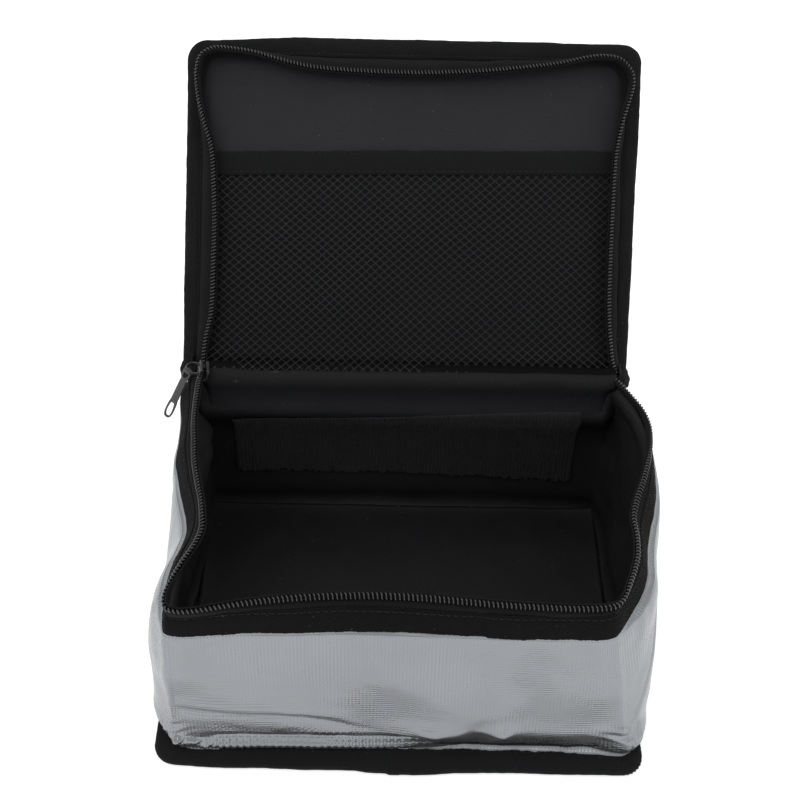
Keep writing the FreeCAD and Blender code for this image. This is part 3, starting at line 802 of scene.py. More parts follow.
        # slanted pull lines on the right wall
        rw = sstep(sR + 3, sR + 14, s) * (1 - sstep(sR + 70, sR + 95, s))
        q = (s - sR) * 0.62 + (HW - h) * 0.55
        g += rw * 0.55 * np.abs(((q / 17.0) % 1.0) - 0.5) * env * 2
        lw = sstep(sL - 95, sL - 70, s) * (1 - sstep(sL - 12, sL - 3, s))
        q = (sL - s) * 0.6 + (HW - h) * 0.5
        g += lw * 0.6 * np.abs(((q / 19.0 + 0.3) % 1.0) - 0.5) * env * 2
        g = g * (1 - 0.85 * sstep(HW - 7, HW - 1.5, h))
        d = d + g * detail * sstep(0.0, 1.6, h)
    return P + OUTc[None] * (d + off)[..., None]


# --------------------------------------------------------------- silver walls
v_main = np.concatenate([np.linspace(0, 0.30, 34)[:-1], np.linspace(0.30, 1.0, 46)])
W0 = wall(0.0, v_main, 1.0)
# seam allowance: runs out flat over the base flange, under the binding
rag = 0.9 + 0.35 * N4(Sc / 1.3) + 0.35 * N2(Sc / 9.0)
allow = W0[:1] + OUTc[None] * rag[None, :, None] + np.array([0, 0, -0.35])
tuck = W0[-1:] + NDc[None] * 5.0 - OUTc[None] * 0.5
SILV = np.concatenate([allow, W0, tuck])
silver = solid("silver_walls", SILV, 0.25, -0.45, M_SILVER, closed=True)
place(silver, "bag", SLOT["outer_wall_front"], "outer_wall_front",
      "outer_wall_back", "outer_wall_left", "outer_wall_right")

# fibre padding between the silver and the lining
# ------------------------------------------------------------------ rim band
SB = Sc
scal = 0.22 * N4(SB / 2.1) + 0.45 * N5(SB / 17.0) + 0.10 * np.sin(SB * 2 * np.pi / 2.3)
v_b = np.linspace(0, 1, 12)
edge_prof = np.sin(np.pi * v_b) ** 0.35
BAND = []
for k, t in enumerate(v_b):
    low = (1 - t) ** 4
    base_pt = Mc + NDc * (BANDW * t)[..., None] if np.ndim(t) else Mc + NDc * BANDW * t
    base_pt = base_pt + np.array([0, 0, 1.0]) * (scal * low)[:, None]
    puff = -0.55 + 0.5 * math.sin(math.pi * t) - 0.35 * math.exp(-((t - 0.86) / 0.05) ** 2)
    puff = puff + 0.18 * N2(SB / 6.0, t * 3.0)
    BAND.append(base_pt + OUTc * (puff if np.ndim(puff) else puff)[:, None])
BAND = np.array(BAND)
# a lapped join on the front, right of the middle
xj = (Sc - np.interp(33.0 * SX, M[iL:iR, 0], US[iL:iR]))
lap = 0.55 * sstep(0, 0.8, xj) * (1 - sstep(14, 22, xj))
BAND += OUTc[None] * lap[None, :, None]
band = solid("rim_band", BAND, 0.55, -0.55, M_BAND, closed=True)
place(band, "bag", SLOT["rim_binding"], "rim_binding")

st = Batch()
P_st = Mc + NDc * (BANDW * 0.86) + OUTc * (-0.45 + 0.55 + lap)[:, None]
stitches(st, np.concatenate([P_st, P_st[:1]]), np.concatenate([OUTc, OUTc[:1]]),
         2.2, 0.9, 0.2, 0.1)
stitch = st.build("rim_band_stitches", M_THREAD)
place(stitch, "bag", SLOT["rim_binding"])

# --------------------------------------------------------- rim tape and coil
Dk = unit(K - (N_ - OUT * 1.2))
rows = []
T0 = N_ - NDIR * 3.2 - OUT * 1.15
span = K - Dk * 1.0 - T0
KN = np.cross(unit(np.gradient(K, axis=0)), Dk)
KN = unit(KN * np.sign((KN * OUT).sum(1))[:, None])       # the coil's outer face
for t in np.linspace(0, 1, 9):
    sag = 0.9 * math.sin(math.pi * t)
    rows.append(T0 + span * t + np.array([0, 0, 1.0]) * sag * 0.9 + OUT * sag * 0.4
                - KN * 1.25 * sstep(0.6, 1.0, t))
for t in (0.1, 0.8, 1.5):
    rows.append(K + Dk * t - KN * 1.25)
TAPE = np.array(rows)
tape = solid("rim_tape", TAPE, 0.3, -0.3, M_TAPE)
place(tape, "bag", SLOT["rim_zipper_tape"], "rim_zipper_tape")
coil, cord = coil_mesh("rim_coil", K, Dk, M_COIL, pitch=1.8)
place(cord, "bag", SLOT["rim_zipper_coil"])
place(coil, "bag", SLOT["rim_zipper_coil"], "rim_zipper_coil")

# ------------------------------------------------------------------- linings
v_l = np.concatenate([np.linspace(0.02, 0.12, 7)[:-1], np.linspace(0.12, 1.0, 40)])
L0 = wall(-4.1, v_l, 0.35)
hh = v_l[:, None] * HW
ss = Sc[None]
MB_y = Mc[None, :, 1]
back_m = sstep(Sc[NU - 1] - 2, Sc[NU - 1] + 6, ss) * (1 - sstep(Sc[-1] - 6, Sc[-1] + 2, ss))
# side walls: soft dents; back wall: rolls forward under the hinge
dent = (N3(ss / 24.0, hh / 20.0) * 2.4 + N6(ss / 9.0, hh / 11.0) * 0.7) * \
    np.sin(np.pi * np.clip(v_l[:, None], 0, 1)) ** 0.5 * (1 - 0.8 * back_m)
roll_b = back_m * (7.6 * gauss(hh, HW - 8, 9.5) - 1.0 * gauss(hh, 38, 16))
left_m = (1 - sstep(sL - 12, sL, ss)) * sstep(-24, -2, MB_y) * (1 - sstep(58, 68, MB_y))
roll_l = left_m * (9.5 * gauss(hh, HW - 18, 13)
                   - 0.9 * gauss(hh + 0.5 * (MB_y - 44), HW - 14, 1.6))
L0 = L0 - OUTc[None] * (np.clip(dent, -1.5, 4) + roll_b + roll_l)[..., None]
top1 = L0[-1:] + NDc[None] * 5.2
endz = np.concatenate([T0 + Dk * 3.4 - OUT * 0.9,
                       np.column_stack([MB[:, 0] * 0.985,
                                        np.full(NB, HINGE[1] - 4.3),
                                        np.full(NB, HINGE[2] - 4.2)])])
top1[0, NU:] = 0.5 * (L0[-1, NU:] + endz[NU:]) + np.array([0, -0.2, 0])
top2 = endz[None]
LIN = np.concatenate([L0, top1, top2])
# fibre padding fills the space between the silver and the lining
PV = np.linspace(0.04, 0.93, 24)


def rows_at(G, v, vv):
    i = np.clip(np.searchsorted(v, vv, "right") - 1, 0, len(v) - 2)
    f = ((vv - v[i]) / (v[i + 1] - v[i]))[:, None, None]
    return G[i] * (1 - f) + G[i + 1] * f


pad_o, pad_i = rows_at(W0, v_main, PV), rows_at(L0, v_l, PV)
mid_p = pad_o * 0.5 + pad_i * 0.5
n_p = unit(pad_o - pad_i)
half_p = np.linalg.norm(pad_o - pad_i, axis=-1) * 0.5
pad = solid("wall_padding", mid_p, np.maximum(half_p - 0.75, 0.15),
            -np.maximum(half_p - 0.75, 0.15), M_FIBRE, closed=True, n=n_p)
place(pad, "bag", SLOT["padding_front"], "padding_front", "padding_back",
      "padding_left", "padding_right")
# painted light: the wall lining takes the brighter copy of the lining
lining = solid("wall_lining", LIN, 0.2, -0.35, M_WALLLIN_LIT, closed=True)
place(lining, "bag", SLOT["lining_front"], "lining_front", "lining_back",
      "lining_left", "lining_right")

# floor: one quilted sheet that rounds up into the walls
nx, ny = 150, 120
fx = np.linspace(_flo[0] - 3.4, _fhi[0] + 3.0, nx)
fy = np.linspace(_flo[1] - 2.4, _fhi[1] + 1.0, ny)
X, Y = np.meshgrid(fx, fy)
ex = np.minimum(X - fx[0], fx[-1] - X)
ey = np.minimum(Y - fy[0], fy[-1] - Y)
Z = FLOOR + 0.35 + 0.55 * N1(X / 31.0 + 9, Y / 27.0) + 0.22 * N2(X / 9.0, Y / 11.0)
Z += 1.5 * np.exp(-ex / 4.5) + 1.5 * np.exp(-ey / 3.6)
FL = np.stack([X, Y, Z], -1)
floor_l = solid("floor_lining", FL, 0.3, -0.3, M_LINING)
place(floor_l, "bag", SLOT["base_lining"], "base_lining")


# loop strips on the back and front linings, ribbed, with a ragged lower edge
def on_lining(cols, z, lift):
    """Point of the lining at columns cols and height z, lifted inwards."""
    out = np.empty((len(z), len(cols), 3))
    Q = LIN
    zz = Q[:, :, 2]
    for j, c in enumerate(cols):
        order = np.arange(len(L0))
        zc = zz[order, c]
        for k in range(3):
            out[:, j, k] = np.interp(z[:, j] if np.ndim(z) > 1 else z, zc,
                                     Q[order, c, k])
    return out - OUTc[cols][None] * lift


def loop_strip(name, node, side):
    lo, hi = bx(node)
    half = (hi[0] - lo[0]) / 2
    n = 760
    xs = np.linspace(-half, half, n)
    if side > 0:
        xx = Mc[NU:, 0][::-1]
        idx = np.interp(xs, xx, np.arange(NU, NC)[::-1])
    else:
        seg = np.arange(iL + 4, iR - 4)
        idx = np.interp(xs, Mc[seg, 0], seg)
    i0 = np.floor(idx).astype(int)
    fr = idx - i0
    rows = 46
    zt = hi[2] + (1.0 + 2.2 * np.sin(xs / 60.0) + 0.03 * xs if side > 0 else 0 * xs)
    rag = 1.1 * N3(xs / 1.7 + 5) + 0.8 * N5(xs / 6.0) - 0.02 * xs * (side > 0)
    zb = lo[2] + rag
    t = np.linspace(0, 1, rows)[:, None]
    z = zb[None] * (1 - t) + zt[None] * t
    a = on_lining(i0, z, 0.0)
    b = on_lining(np.minimum(i0 + 1, NC - 1), z, 0.0)
    P = a * (1 - fr)[None, :, None] + b * fr[None, :, None]
    P[:, :, 0] = xs[None]
    rib = 0.42 * np.abs(np.sin(np.pi * xs / 1.72)) ** 0.7
    fuzz = 0.25 * N6(xs[None] / 0.9, z / 1.1) + 0.2 * N2(xs[None] / 3.1, z / 4.0)
    lift = (1.05 if side > 0 else 0.55) + rib[None] + fuzz
    nrm = np.array([0, -1.0 if side > 0 else 1.0, 0])
    P = P + nrm[None, None] * lift[..., None]
    if side > 0:
        P = P[:, ::-1]
    ob = solid(name, P, 0.1, -0.5, M_LOOP)
    place(ob, "bag", SLOT[node], node)
    return ob


loop_b = loop_strip("back_loop_pile", "back_loop_strip", 1)
loop_f = loop_strip("front_loop_pile", "front_loop_strip", -1)

# --------------------------------------------------------------- base binding


def ring_path(hx, hy, r, n, close=True, cy=0.0):
    """Rounded rectangle, anticlockwise from the front middle."""
    pts = []
    corners = ((hx - r, -hy + r, -90), (hx - r, hy - r, 0), (-hx + r, hy - r, 90),
               (-hx + r, -hy + r, 180))
    pts.append([0.0, -hy])
    for cx_, cy_, a0 in corners:
        for a in np.linspace(a0, a0 + 90, 24):
            pts.append([cx_ + r * math.cos(math.radians(a)),
                        cy_ + r * math.sin(math.radians(a))])
    pts.append([0.0, -hy])
    P = np.array(pts)
    P = np.column_stack([P, np.zeros(len(P))])
    P = resample(P, n + 1)[:-1]
    P[:, 1] += cy
    return P


NBB = 760
outer = ring_path(BW - 0.2, BD - 0.2, 10.0, NBB)
_fx = np.array([-110, -100, -90, -80, -60, -45, -20, -12, -6, -5, 5, 15, 24, 50, 75, 95, 110.0])
_fd = np.array([4.2, 3.6, 3.1, 2.6, 2.4, 2.0, 2.2, 1.9, 1.6, 0.5, 0.4, 0.9, 1.9, 2.3, 2.3, 1.9, 2.2]) - 0.8
outer[:, 1] += np.interp(outer[:, 0], _fx, _fd) * (1 - sstep(-BD * 0.95, -BD * 0.4, outer[:, 1]))
outer[:, 0] -= 1.9 * sstep(70, 100, -outer[:, 0]) * sstep(10, 65, -outer[:, 1])
sO = arclen(np.concatenate([outer, outer[:1]]))[:-1]
inner = ring_path(BW - 13.4, BD - 13.2, 2.5, NBB)
# pair inner points with outer ones by nearest direction
inn = outer.copy()
inn[:, 0] = np.clip(outer[:, 0], -(BW - 12.2), BW - 12.2)
inn[:, 1] = np.clip(outer[:, 1], -(BD - 13.0), BD - 13.0)
wz = 0.35 * (N1(sO / 40.0) + 1) * 0.5
inw = unit(inn - outer)
TH = _bhi[2] - _blo[2]
prof = []
wid = np.linalg.norm(inn - outer, axis=1)
# cross-section: bottom inner -> bottom outer -> round edge -> top inner
sec = [(1.0, 0.02), (0.75, 0.0), (0.45, 0.0), (0.22, 0.0), (0.10, 0.03),
       (0.035, 0.14), (0.0, 0.36), (0.0, 0.62), (0.03, 0.84), (0.085, 0.97),
       (0.17, 1.05), (0.30, 1.08), (0.48, 1.06), (0.66, 1.03), (0.80, 0.99),
       (0.86, 0.90), (0.92, 0.98), (1.0, 0.96)]
jn = np.minimum(np.abs(sO - sO[-1] * 0.0 + 0), 1e9)
xj0 = -5.0
front_mask = (outer[:, 1] < -BD + 3)
lapx = sstep(xj0, xj0 + 0.9, outer[:, 0]) * 0 + \
    (sstep(xj0 - 16, xj0 - 10, outer[:, 0]) * (1 - sstep(xj0 - 0.7, xj0, outer[:, 0]))) * front_mask
for a, z in sec:
    p = outer + inw * (wid * a)[:, None]
    edge = 0.25 * N2(sO / 23.0) + 0.10 * N4(sO / 3.0)
    if a < 0.05:
        p = p - inw * (edge + 0.5 * lapx)[:, None]
    zz = _blo[2] + TH * z + (0.22 * N3(sO / 21.0, a * 3) + 0.12 * N5(sO / 5.0, a * 4)) * (z > 0.5) \
        + 0.5 * lapx * (z > 0.5) * (0.02 < 1)
    rb = gauss(outer[:, 0], 104, 7) * gauss(outer[:, 1], -76, 12)
    zz = zz + 0.28 * rb * np.sin(sO * 2 * np.pi / 2.1) * (z > 0.3)
    if a < 0.2:
        p = p + inw * (0.22 * rb * np.sin(sO * 2 * np.pi / 2.1))[:, None]
    p[:, 2] = np.maximum(zz, _blo[2])
    prof.append(p)
PR = np.array(prof)
Rn, Cn = PR.shape[:2]
uvb = uv_of(PR, True)
q, rr, cx = quads(Rn, Cn, True)
# close the section: last row back to the first
c = np.arange(Cn)
c2 = (c + 1) % Cn
last = (Rn - 1) * Cn
Fb = np.concatenate([q, np.stack([last + c, last + c2, c2, c], -1)])
Ub = np.concatenate([uvb[rr, cx], np.stack([uvb[-1, c], uvb[-1, c + 1],
                                            uvb[-1, c + 1] + [0, 1],
                                            uvb[-1, c] + [0, 1]], 1)])
basebind = make_mesh("base_bound_edge", PR.reshape(-1, 3), Fb, Ub, M_BASEWEB)
place(basebind, "bag", SLOT["base_binding"], "base_binding")

sb = Batch()
pth = outer + inw * (wid * 0.86)[:, None]
pth[:, 2] = _blo[2] + TH * 0.93
up = np.tile(np.array([0, 0, 1.0]), (NBB + 1, 1))
stitches(sb, np.concatenate([pth, pth[:1]]), up, 2.4, 0.9, 0.2, 0.15)
sbo = sb.build("base_edge_stitches", M_THREAD)
place(sbo, "bag", SLOT["base_binding"])

# base panel underneath: silver cloth with a low quilted swell
lo, hi = bx("base_outer_panel")
nx, ny = 90, 70
gx = np.linspace(lo[0] + 0.3, hi[0] - 0.3, nx)
gy = np.linspace(lo[1] + 0.3, hi[1] - 0.3, ny)
X, Y = np.meshgrid(gx, gy)
Z = lo[2] + 0.35 + 0.10 * (N2(X / 17.0, Y / 15.0) + 1)
bp = solid("base_silver_panel", np.stack([X, Y, Z], -1), 0.25, -0.3, M_SILVER)
place(bp, "bag", SLOT["base_outer_panel"], "base_outer_panel")

# ------------------------------------------------------------------------ lid
LRIM = np.array([
    # coil x   r      h    seam x    r
    [ -96.6,  -0.6,  3.4,  -99.6,  -0.6],
    [ -95.2,  12.8,  3.4,  -99.6,  13.0],
    [ -93.1,  24.6,  3.8,  -99.5,  25.0],
    [ -92.7,  47.0,  4.0,  -99.5,  47.0],
    [ -92.6,  68.7,  4.0,  -99.5,  69.0],
    [ -93.7,  91.0,  3.8,  -99.5,  90.5],
    [ -94.9, 102.8,  3.6,  -99.5, 102.0],
    [ -98.4, 114.5,  3.2,  -99.6, 113.5],
    [-101.5, 127.8,  3.2,  -99.8, 126.0],
    [-102.2, 138.2,  3.2,  -99.5, 137.0],
    [-100.3, 145.8,  3.2,  -96.8, 145.3],
    [ -94.5, 149.2,  3.2,  -91.2, 147.6],
    [ -87.4, 149.2,  3.2,  -86.0, 147.8],
    [ -75.5, 147.8,  3.2,  -75.0, 147.8],
    [ -65.1, 145.2,  3.3,  -65.0, 147.7],
    [ -48.4, 141.8,  3.6,  -48.5, 147.6],
    [ -26.0, 140.4,  3.9,  -26.0, 147.5],
    [  -0.5, 140.0,  4.0,   -0.5, 147.5],
    [  25.6, 141.0,  3.9,   25.6, 147.5],
    [  47.8, 142.9,  3.6,   48.0, 147.6],
    [  70.1, 145.8,  3.3,   70.0, 147.7],
    [  82.0, 148.4,  3.2,   81.5, 147.8],
    [  90.4, 149.3,  3.2,   89.5, 147.6],
    [  98.3, 147.9,  3.2,   96.2, 145.8],
    [ 103.4, 142.2,  3.2,   99.6, 140.0],
    [ 104.2, 135.6,  3.2,   99.9, 134.0],
    [ 100.2, 120.2,  3.2,   99.7, 119.5],
    [  97.4, 105.4,  3.5,   99.5, 105.0],
    [  96.3,  87.8,  3.8,   99.5,  88.0],
    [  95.4,  57.9,  4.0,   99.5,  58.0],
    [  95.1,  28.5,  4.0,   99.5,  28.5],
    [  96.8,   6.3,  3.6,   99.6,   6.5],
    [  98.6,  -1.0,  3.4,   99.8,  -1.0],
])
LX = (bx("lid_binding")[1][0] - bx("lid_binding")[0][0]) / 2
_c = LX - 107.5
LRIM[:, 0] *= LX / 107.5
LRIM[:, 3] *= LX / 107.5
t_ = arclen(LRIM[:, 0:2])
dn = hermite(LRIM, t_, np.linspace(0, t_[-1], 6000))
NL = 560
LU = resample(dn, NL, slice(0, 2))
LK = lid(LU[:, 0], LU[:, 1], LU[:, 2])
LS = lid(LU[:, 3], LU[:, 4], 11.9)
LT = unit(np.gradient(LS, axis=0))
LOUT = unit(np.cross(LT, ND))                   # outward in the lid's plane
LOUT = LOUT * np.sign((LOUT * (LS - lid(0, 70, 11.9))).sum(1))[:, None]
LDk = unit(LK - LS)
rows = []
for t in np.linspace(0, 1, 10):
    sag = 1.5 * math.sin(math.pi * t)
    wv = 0.5 * N3(arclen(LS) / 11.0, t * 2.0) * math.sin(math.pi * t)
    rows.append(LS + (LK - LDk * 1.0 - LS) * t + LOUT * (sag + wv)[:, None])
LKN = np.cross(unit(np.gradient(LK, axis=0)), LDk)
LKN = unit(LKN * np.sign((LKN * LOUT).sum(1))[:, None])
LTAPE = np.array(rows)
_e = np.linspace(0, 1, len(LTAPE))
LTAPE = LTAPE - LKN[None] * 1.2 * sstep(0.6, 1.0, _e)[:, None, None]
LTAPE = np.concatenate([LTAPE, np.array([LK + LDk * t - LKN * 1.2 for t in (0.1, 0.8, 1.4)])])
ltape = solid("lid_tape", LTAPE, 0.3, -0.3, M_TAPE)
place(ltape, "lid", SLOT["lid_zipper_tape"], "lid_zipper_tape")
lcoil, cord = coil_mesh("lid_coil", LK, LDk, M_COIL, pitch=1.6)
place(cord, "lid", SLOT["lid_zipper_coil"])
place(lcoil, "lid", SLOT["lid_zipper_coil"], "lid_zipper_coil")

# lid binding: folded tape round three sides, from hinge to hinge
LL = (np.linalg.norm((bx("lid_binding")[1] - bx("lid_binding")[0])[1:])
      if False else 155.5)


def lid_ring(hx, rl, rad, n, r0):
    pts = [[-hx, r0]]
    for cx_, cr_, a0 in ((-hx + rad, rl - rad, 180), (hx - rad, rl - rad, 90)):
        for a in np.linspace(a0, a0 - 90, 24):
            pts.append([cx_ + rad * math.cos(math.radians(a)),
                        cr_ + rad * math.sin(math.radians(a))])
    pts.append([hx, r0])
    P = np.array(pts)
    return resample(np.column_stack([P, np.zeros(len(P))]), n)[:, :2]


NLB = 640
lo_ = lid_ring(LX - 0.1, 155.3, 9.5, NLB, -3.4)
li_ = lo_.copy()
_w = sstep(2, 153, lo_[:, 1])
_gx = lo_[:, 0] / LX
_grow = 2.4 * sstep(-0.95, -0.45, _gx)
_right = (-2.4 + 5.2 * np.clip(lo_[:, 1] / 150.0, 0, 1)) * sstep(0.2, 0.97, _gx)
_left = (0.3 - 0.9 * np.clip(lo_[:, 1] / 150.0, 0, 1)) * sstep(-0.2, -0.97, _gx)
li_[:, 0] = np.clip(lo_[:, 0], -(LX - 8.4), LX - 8.4)
li_[:, 1] = np.minimum(lo_[:, 1], 155.3 - 8.3)
for _q, _k in ((lo_, 1.0), (li_, 0.55)):
    _top = sstep(120, 152, _q[:, 1])
    _q[:, 0] += _k * (_right + _left)
    _q[:, 1] += _k * _grow * _top
sl = arclen(np.column_stack([lo_, np.zeros(NLB)]))
lw = np.linalg.norm(li_ - lo_, axis=1)
ld_ = (li_ - lo_) / lw[:, None]
H0, H1 = 11.2, 14.9
sec = [(1.0, 0.06), (0.90, 0.02), (0.84, 0.12), (0.76, 0.0), (0.55, -0.05),
       (0.34, -0.05), (0.18, 0.0), (0.08, 0.10), (0.02, 0.26), (-0.01, 0.46),
       (0.0, 0.66), (0.05, 0.85), (0.13, 0.97), (0.30, 1.03), (0.55, 1.03),
       (0.78, 1.0), (0.86, 0.90), (0.93, 0.98), (1.0, 0.94)]
prof = []
for a, z in sec:
    e = 0.20 * N2(sl / 19.0 + 7) + 0.10 * N4(sl / 2.6)
    q2 = lo_ + ld_ * (lw * a)[:, None]
    if a < 0.1:
        q2 = q2 - ld_ * e[:, None]
    hgt = H0 + (H1 - H0) * z + 0.28 * N3(sl / 13.0, a * 3 + z) + 0.14 * N5(sl / 4.0, a * 5)
    prof.append(lid(q2[:, 0], q2[:, 1], hgt))
LPR = np.array(prof)[::-1]
Rn, Cn = LPR.shape[:2]
uvl = uv_of(LPR)
q, rr, cx = quads(Rn, Cn, False)
c = np.arange(Cn - 1)
last = (Rn - 1) * Cn
F_ = [q, np.stack([last + c, last + c + 1, c + 1, c], -1)]
U_ = [uvl[rr, cx], np.stack([uvl[-1, c], uvl[-1, c + 1], uvl[-1, c + 1] + [0, 1],
                             uvl[-1, c] + [0, 1]], 1)]
# end caps
for col, rev in ((0, False), (Cn - 1, True)):
    for k in range(Rn // 2 - 0):
        a_, b_ = k, k + 1
        c_, d_ = Rn - 2 - k, Rn - 1 - k
        if b_ >= c_:
            break
        f = [a_ * Cn + col, b_ * Cn + col, c_ * Cn + col, d_ * Cn + col]
        if rev:
            f = f[::-1]
        F_.append(np.array([f]))
        U_.append(np.zeros((1, 4, 2)))
lbind = make_mesh("lid_bound_edge", LPR.reshape(-1, 3), np.concatenate(F_),
                  np.concatenate(U_), M_WEB)
place(lbind, "lid", SLOT["lid_binding"], "lid_binding")
sb = Batch()
for hgt, nn in ((H0 + 0.05, -ND), (H1 + 0.05, ND)):
    q2 = lo_ + ld_ * (lw * 0.85)[:, None]
    stitches(sb, lid(q2[:, 0], q2[:, 1], np.full(NLB, hgt)),
             np.tile(nn, (NLB, 1)), 2.3, 0.9, 0.2, 0.0)
so = sb.build("lid_edge_stitches", M_THREAD)
place(so, "lid", SLOT["lid_binding"])

# lid panels
nx, nr = 170, 130
gx = np.linspace(-100.9, 100.9, nx) * LX / 107.5
gr = np.linspace(0.8, 149.0, nr)
X, R_ = np.meshgrid(gx, gr)
ed = np.minimum(np.minimum(X - gx[0], gx[-1] - X), gr[-1] - R_)
dome = sstep(0, 30, ed)
inb = sstep(0.8, 5.0, np.minimum(ed, R_ - gr[0] + 3.0))    # 0 where the binding grips
h_out = 13.7 + 0.9 * inb + 1.3 * dome + 0.5 * N1(X / 40.0, R_ / 35.0) * dome \
    + (0.22 * N5(X / 6.5, R_ / 5.0) + 0.3 * N3(X / 14.0, R_ / 20.0)) * inb
_g = X / LX
_wx = (-2.4 + 5.2 * np.clip(R_ / 150.0, 0, 1)) * sstep(0.2, 0.97, _g) \
    + (0.3 - 0.9 * np.clip(R_ / 150.0, 0, 1)) * sstep(-0.2, -0.97, _g)
X = X + 0.55 * _wx
R_ = R_ + 0.55 * 2.4 * sstep(-0.95, -0.45, _g) * sstep(112, 146, R_)
lo_p = solid("lid_silver_panel", lid(X, R_, h_out), -0.3, 0.3, M_SILVER)
place(lo_p, "lid", SLOT["lid_outer_panel"], "lid_outer_panel")
h_in = 12.5 - 0.5 * inb - 0.7 * dome * (1 + 0.4 * N2(X / 33.0, R_ / 30.0)) \
    - 0.25 * N3(X / 12.0, R_ / 15.0) * inb
ll_p = solid("lid_inner_lining", lid(X, R_, h_in), -0.25, 0.25, M_LIDLIN)
# painted shade: faces behind the net pocket take the darker copy of the lid lining
ll_p.data.materials.append(M_LIDSHADE)
_pc = np.empty(len(ll_p.data.polygons) * 3, np.float32)
ll_p.data.polygons.foreach_get("center", _pc)
_pr = (_pc.reshape(-1, 3) / MM - HINGE) @ LD
ll_p.data.polygons.foreach_set("material_index", (_pr < 94.0).astype(np.int32))
place(ll_p, "lid", SLOT["lid_lining"], "lid_lining")
h_mid = 13.1 + 0.2 * dome
lpad = solid("lid_fibre_pad", lid(X, R_, h_mid), -0.7, 0.7, M_FIBRE)
place(lpad, "lid", SLOT["lid_padding"], "lid_padding")


def lid_h_in(x, r):
    e = np.minimum(np.minimum(x - gx[0], gx[-1] - x), gr[-1] - r)
    d = sstep(0, 30, e)
    return 12.0 - 0.7 * d * (1 + 0.4 * N2(x / 33.0, r / 30.0)) - 0.25 * N3(x / 12.0, r / 15.0)


# net pocket: crossed strands knotted at every crossing
PX, PR_ = 4.4, 3.9
RB, RT = -3.9, 93.6
XL, XR = -95.0, 97.6


def net_h(x, r):
    loose = np.sin(np.pi * np.clip((r - RB) / (RT - RB), 0, 1)) ** 0.7
    h = lid_h_in(x, r) - 0.95 - loose * (0.9 + 0.8 * N4(x / 38.0, r / 30.0)
                                        + 0.35 * N6(x / 14.0, r / 12.0))
    # near the hinge it is drawn forward over the fold of the lining
    f = 1 - sstep(-3.0, 12.0, r)
    return h * (1 - f) + f * (-1.15 + 0.5 * (r + 2.4)) \
        + 0.5 * np.sin(x / 7.0 + 2 * N1(x / 20.0)) * gauss(r, 2, 4)


def warp(x, r):
    """The net is pulled a little out of square."""
    return (x + 0.8 * N1(x / 60.0, r / 45.0) + 0.012 * (r - 50),
            r + 0.9 * N2(x / 55.0, r / 40.0) + 0.016 * x * sstep(10, RT, r))


nb = Batch()
total = (RT - RB)
nhalf = int(total / (PR_ / 2))
for sgn in (-1, 1):
    k0 = int((XL - total * PX / PR_) / PX) - 2
    k1 = int((XR + total * PX / PR_) / PX) + 2
    for k in range(k0, k1):
        m = np.arange(0, nhalf * 2 + 1) / 2.0
        r = RB + m * PR_ / 2
        x = k * PX + sgn * m * PX / 2
        ok = (x > XL) & (x < XR)
        if ok.sum() < 4:
            continue
        m, r, x = m[ok], r[ok], x[ok]
        node = np.abs(m - np.round(m)) < 0.1
        over = np.where(node, 0.10 * sgn * np.where(np.round(m).astype(int) % 2 == 0, 1, -1), 0.0)
        xw, rw_ = warp(x, r)
        P = lid(xw, rw_, net_h(xw, rw_) + over)
        rad = np.where(node, 0.36, 0.23)
        nb.add(*tube(P, rad, 4, ND))
net = nb.build("net_pocket", M_NET)
place(net, "lid", SLOT["mesh_pocket"], "mesh_pocket")

# hem across the pocket mouth
n = 420
xs = np.linspace(XL - 0.6, XR + 0.6, n)
tl = np.linspace(0, 1, 14)
Xh, T_ = np.meshgrid(xs, tl)
rc0 = 92.2 + 0.021 * Xh + 0.25 * N4(Xh / 3.0)
Rh = rc0 + 11.3 * T_ + 0.2 * N2(Xh / 20.0, T_) * T_
puff = 0.35 * np.sin(np.pi * T_) ** 0.5 - 0.22 * gauss(T_, 0.14, 0.05)
Hh = lid_h_in(Xh, Rh) - 1.25 - puff - 0.5 * (0.5 + 0.5 * N3(Xh / 30.0, T_)) * gauss(T_, 1, 0.7)
hem = solid("pocket_hem_band", lid(Xh, Rh, Hh), -0.35, 0.35, M_HEM)
place(hem, "lid", SLOT["pocket_hem"], "pocket_hem")
sb = Batch()
xx = np.linspace(XL, XR, 260)
for tt in (0.14, 0.9):
    rr_ = 92.2 + 0.021 * xx + 11.3 * tt
    stitches(sb, lid(xx, rr_, lid_h_in(xx, rr_) - 1.25 - 0.38 - 0.12), np.tile(-ND, (260, 1)),
             2.2, 0.9, 0.18, 0.05)
so = sb.build("pocket_hem_stitches", M_THREAD)
place(so, "lid", SLOT["pocket_hem"])

# ---------------------------------------------------------------- fabric hinge
nh = 240
hx_ = np.linspace(-98.3, 98.3, nh) * SX


def hinge_strip(pts, crinkle, low=None):
    P = np.array(pts, float)
    tt = arclen(P)
    nr = 40
    Q = hermite(P, tt, np.linspace(0, tt[-1], nr))
    G = np.zeros((nr, nh, 3))
    w = np.sin(np.pi * np.linspace(0, 1, nr)) ** 0.7
    for i in range(nr):
        wi = w[i] if low is None else w[i] * sstep(low, low + 6, Q[i, 1])
        G[i, :, 0] = hx_
        wob = (0.8 * N2(hx_ / 22.0, i / 10.0) + 0.35 * N6(hx_ / 7.0, i / 7.0)) * wi * crinkle
        G[i, :, 1] = Q[i, 0] + wob * 0.5
        G[i, :, 2] = Q[i, 1] + wob + 0.9 * np.sin(hx_ / 55.0) * wi * crinkle
        if low is not None:
            G[i, :, 1] += 3.4 * sstep(92, 97, np.abs(hx_)) * (1 - sstep(low, low + 4, Q[i, 1]))
    return Q, G


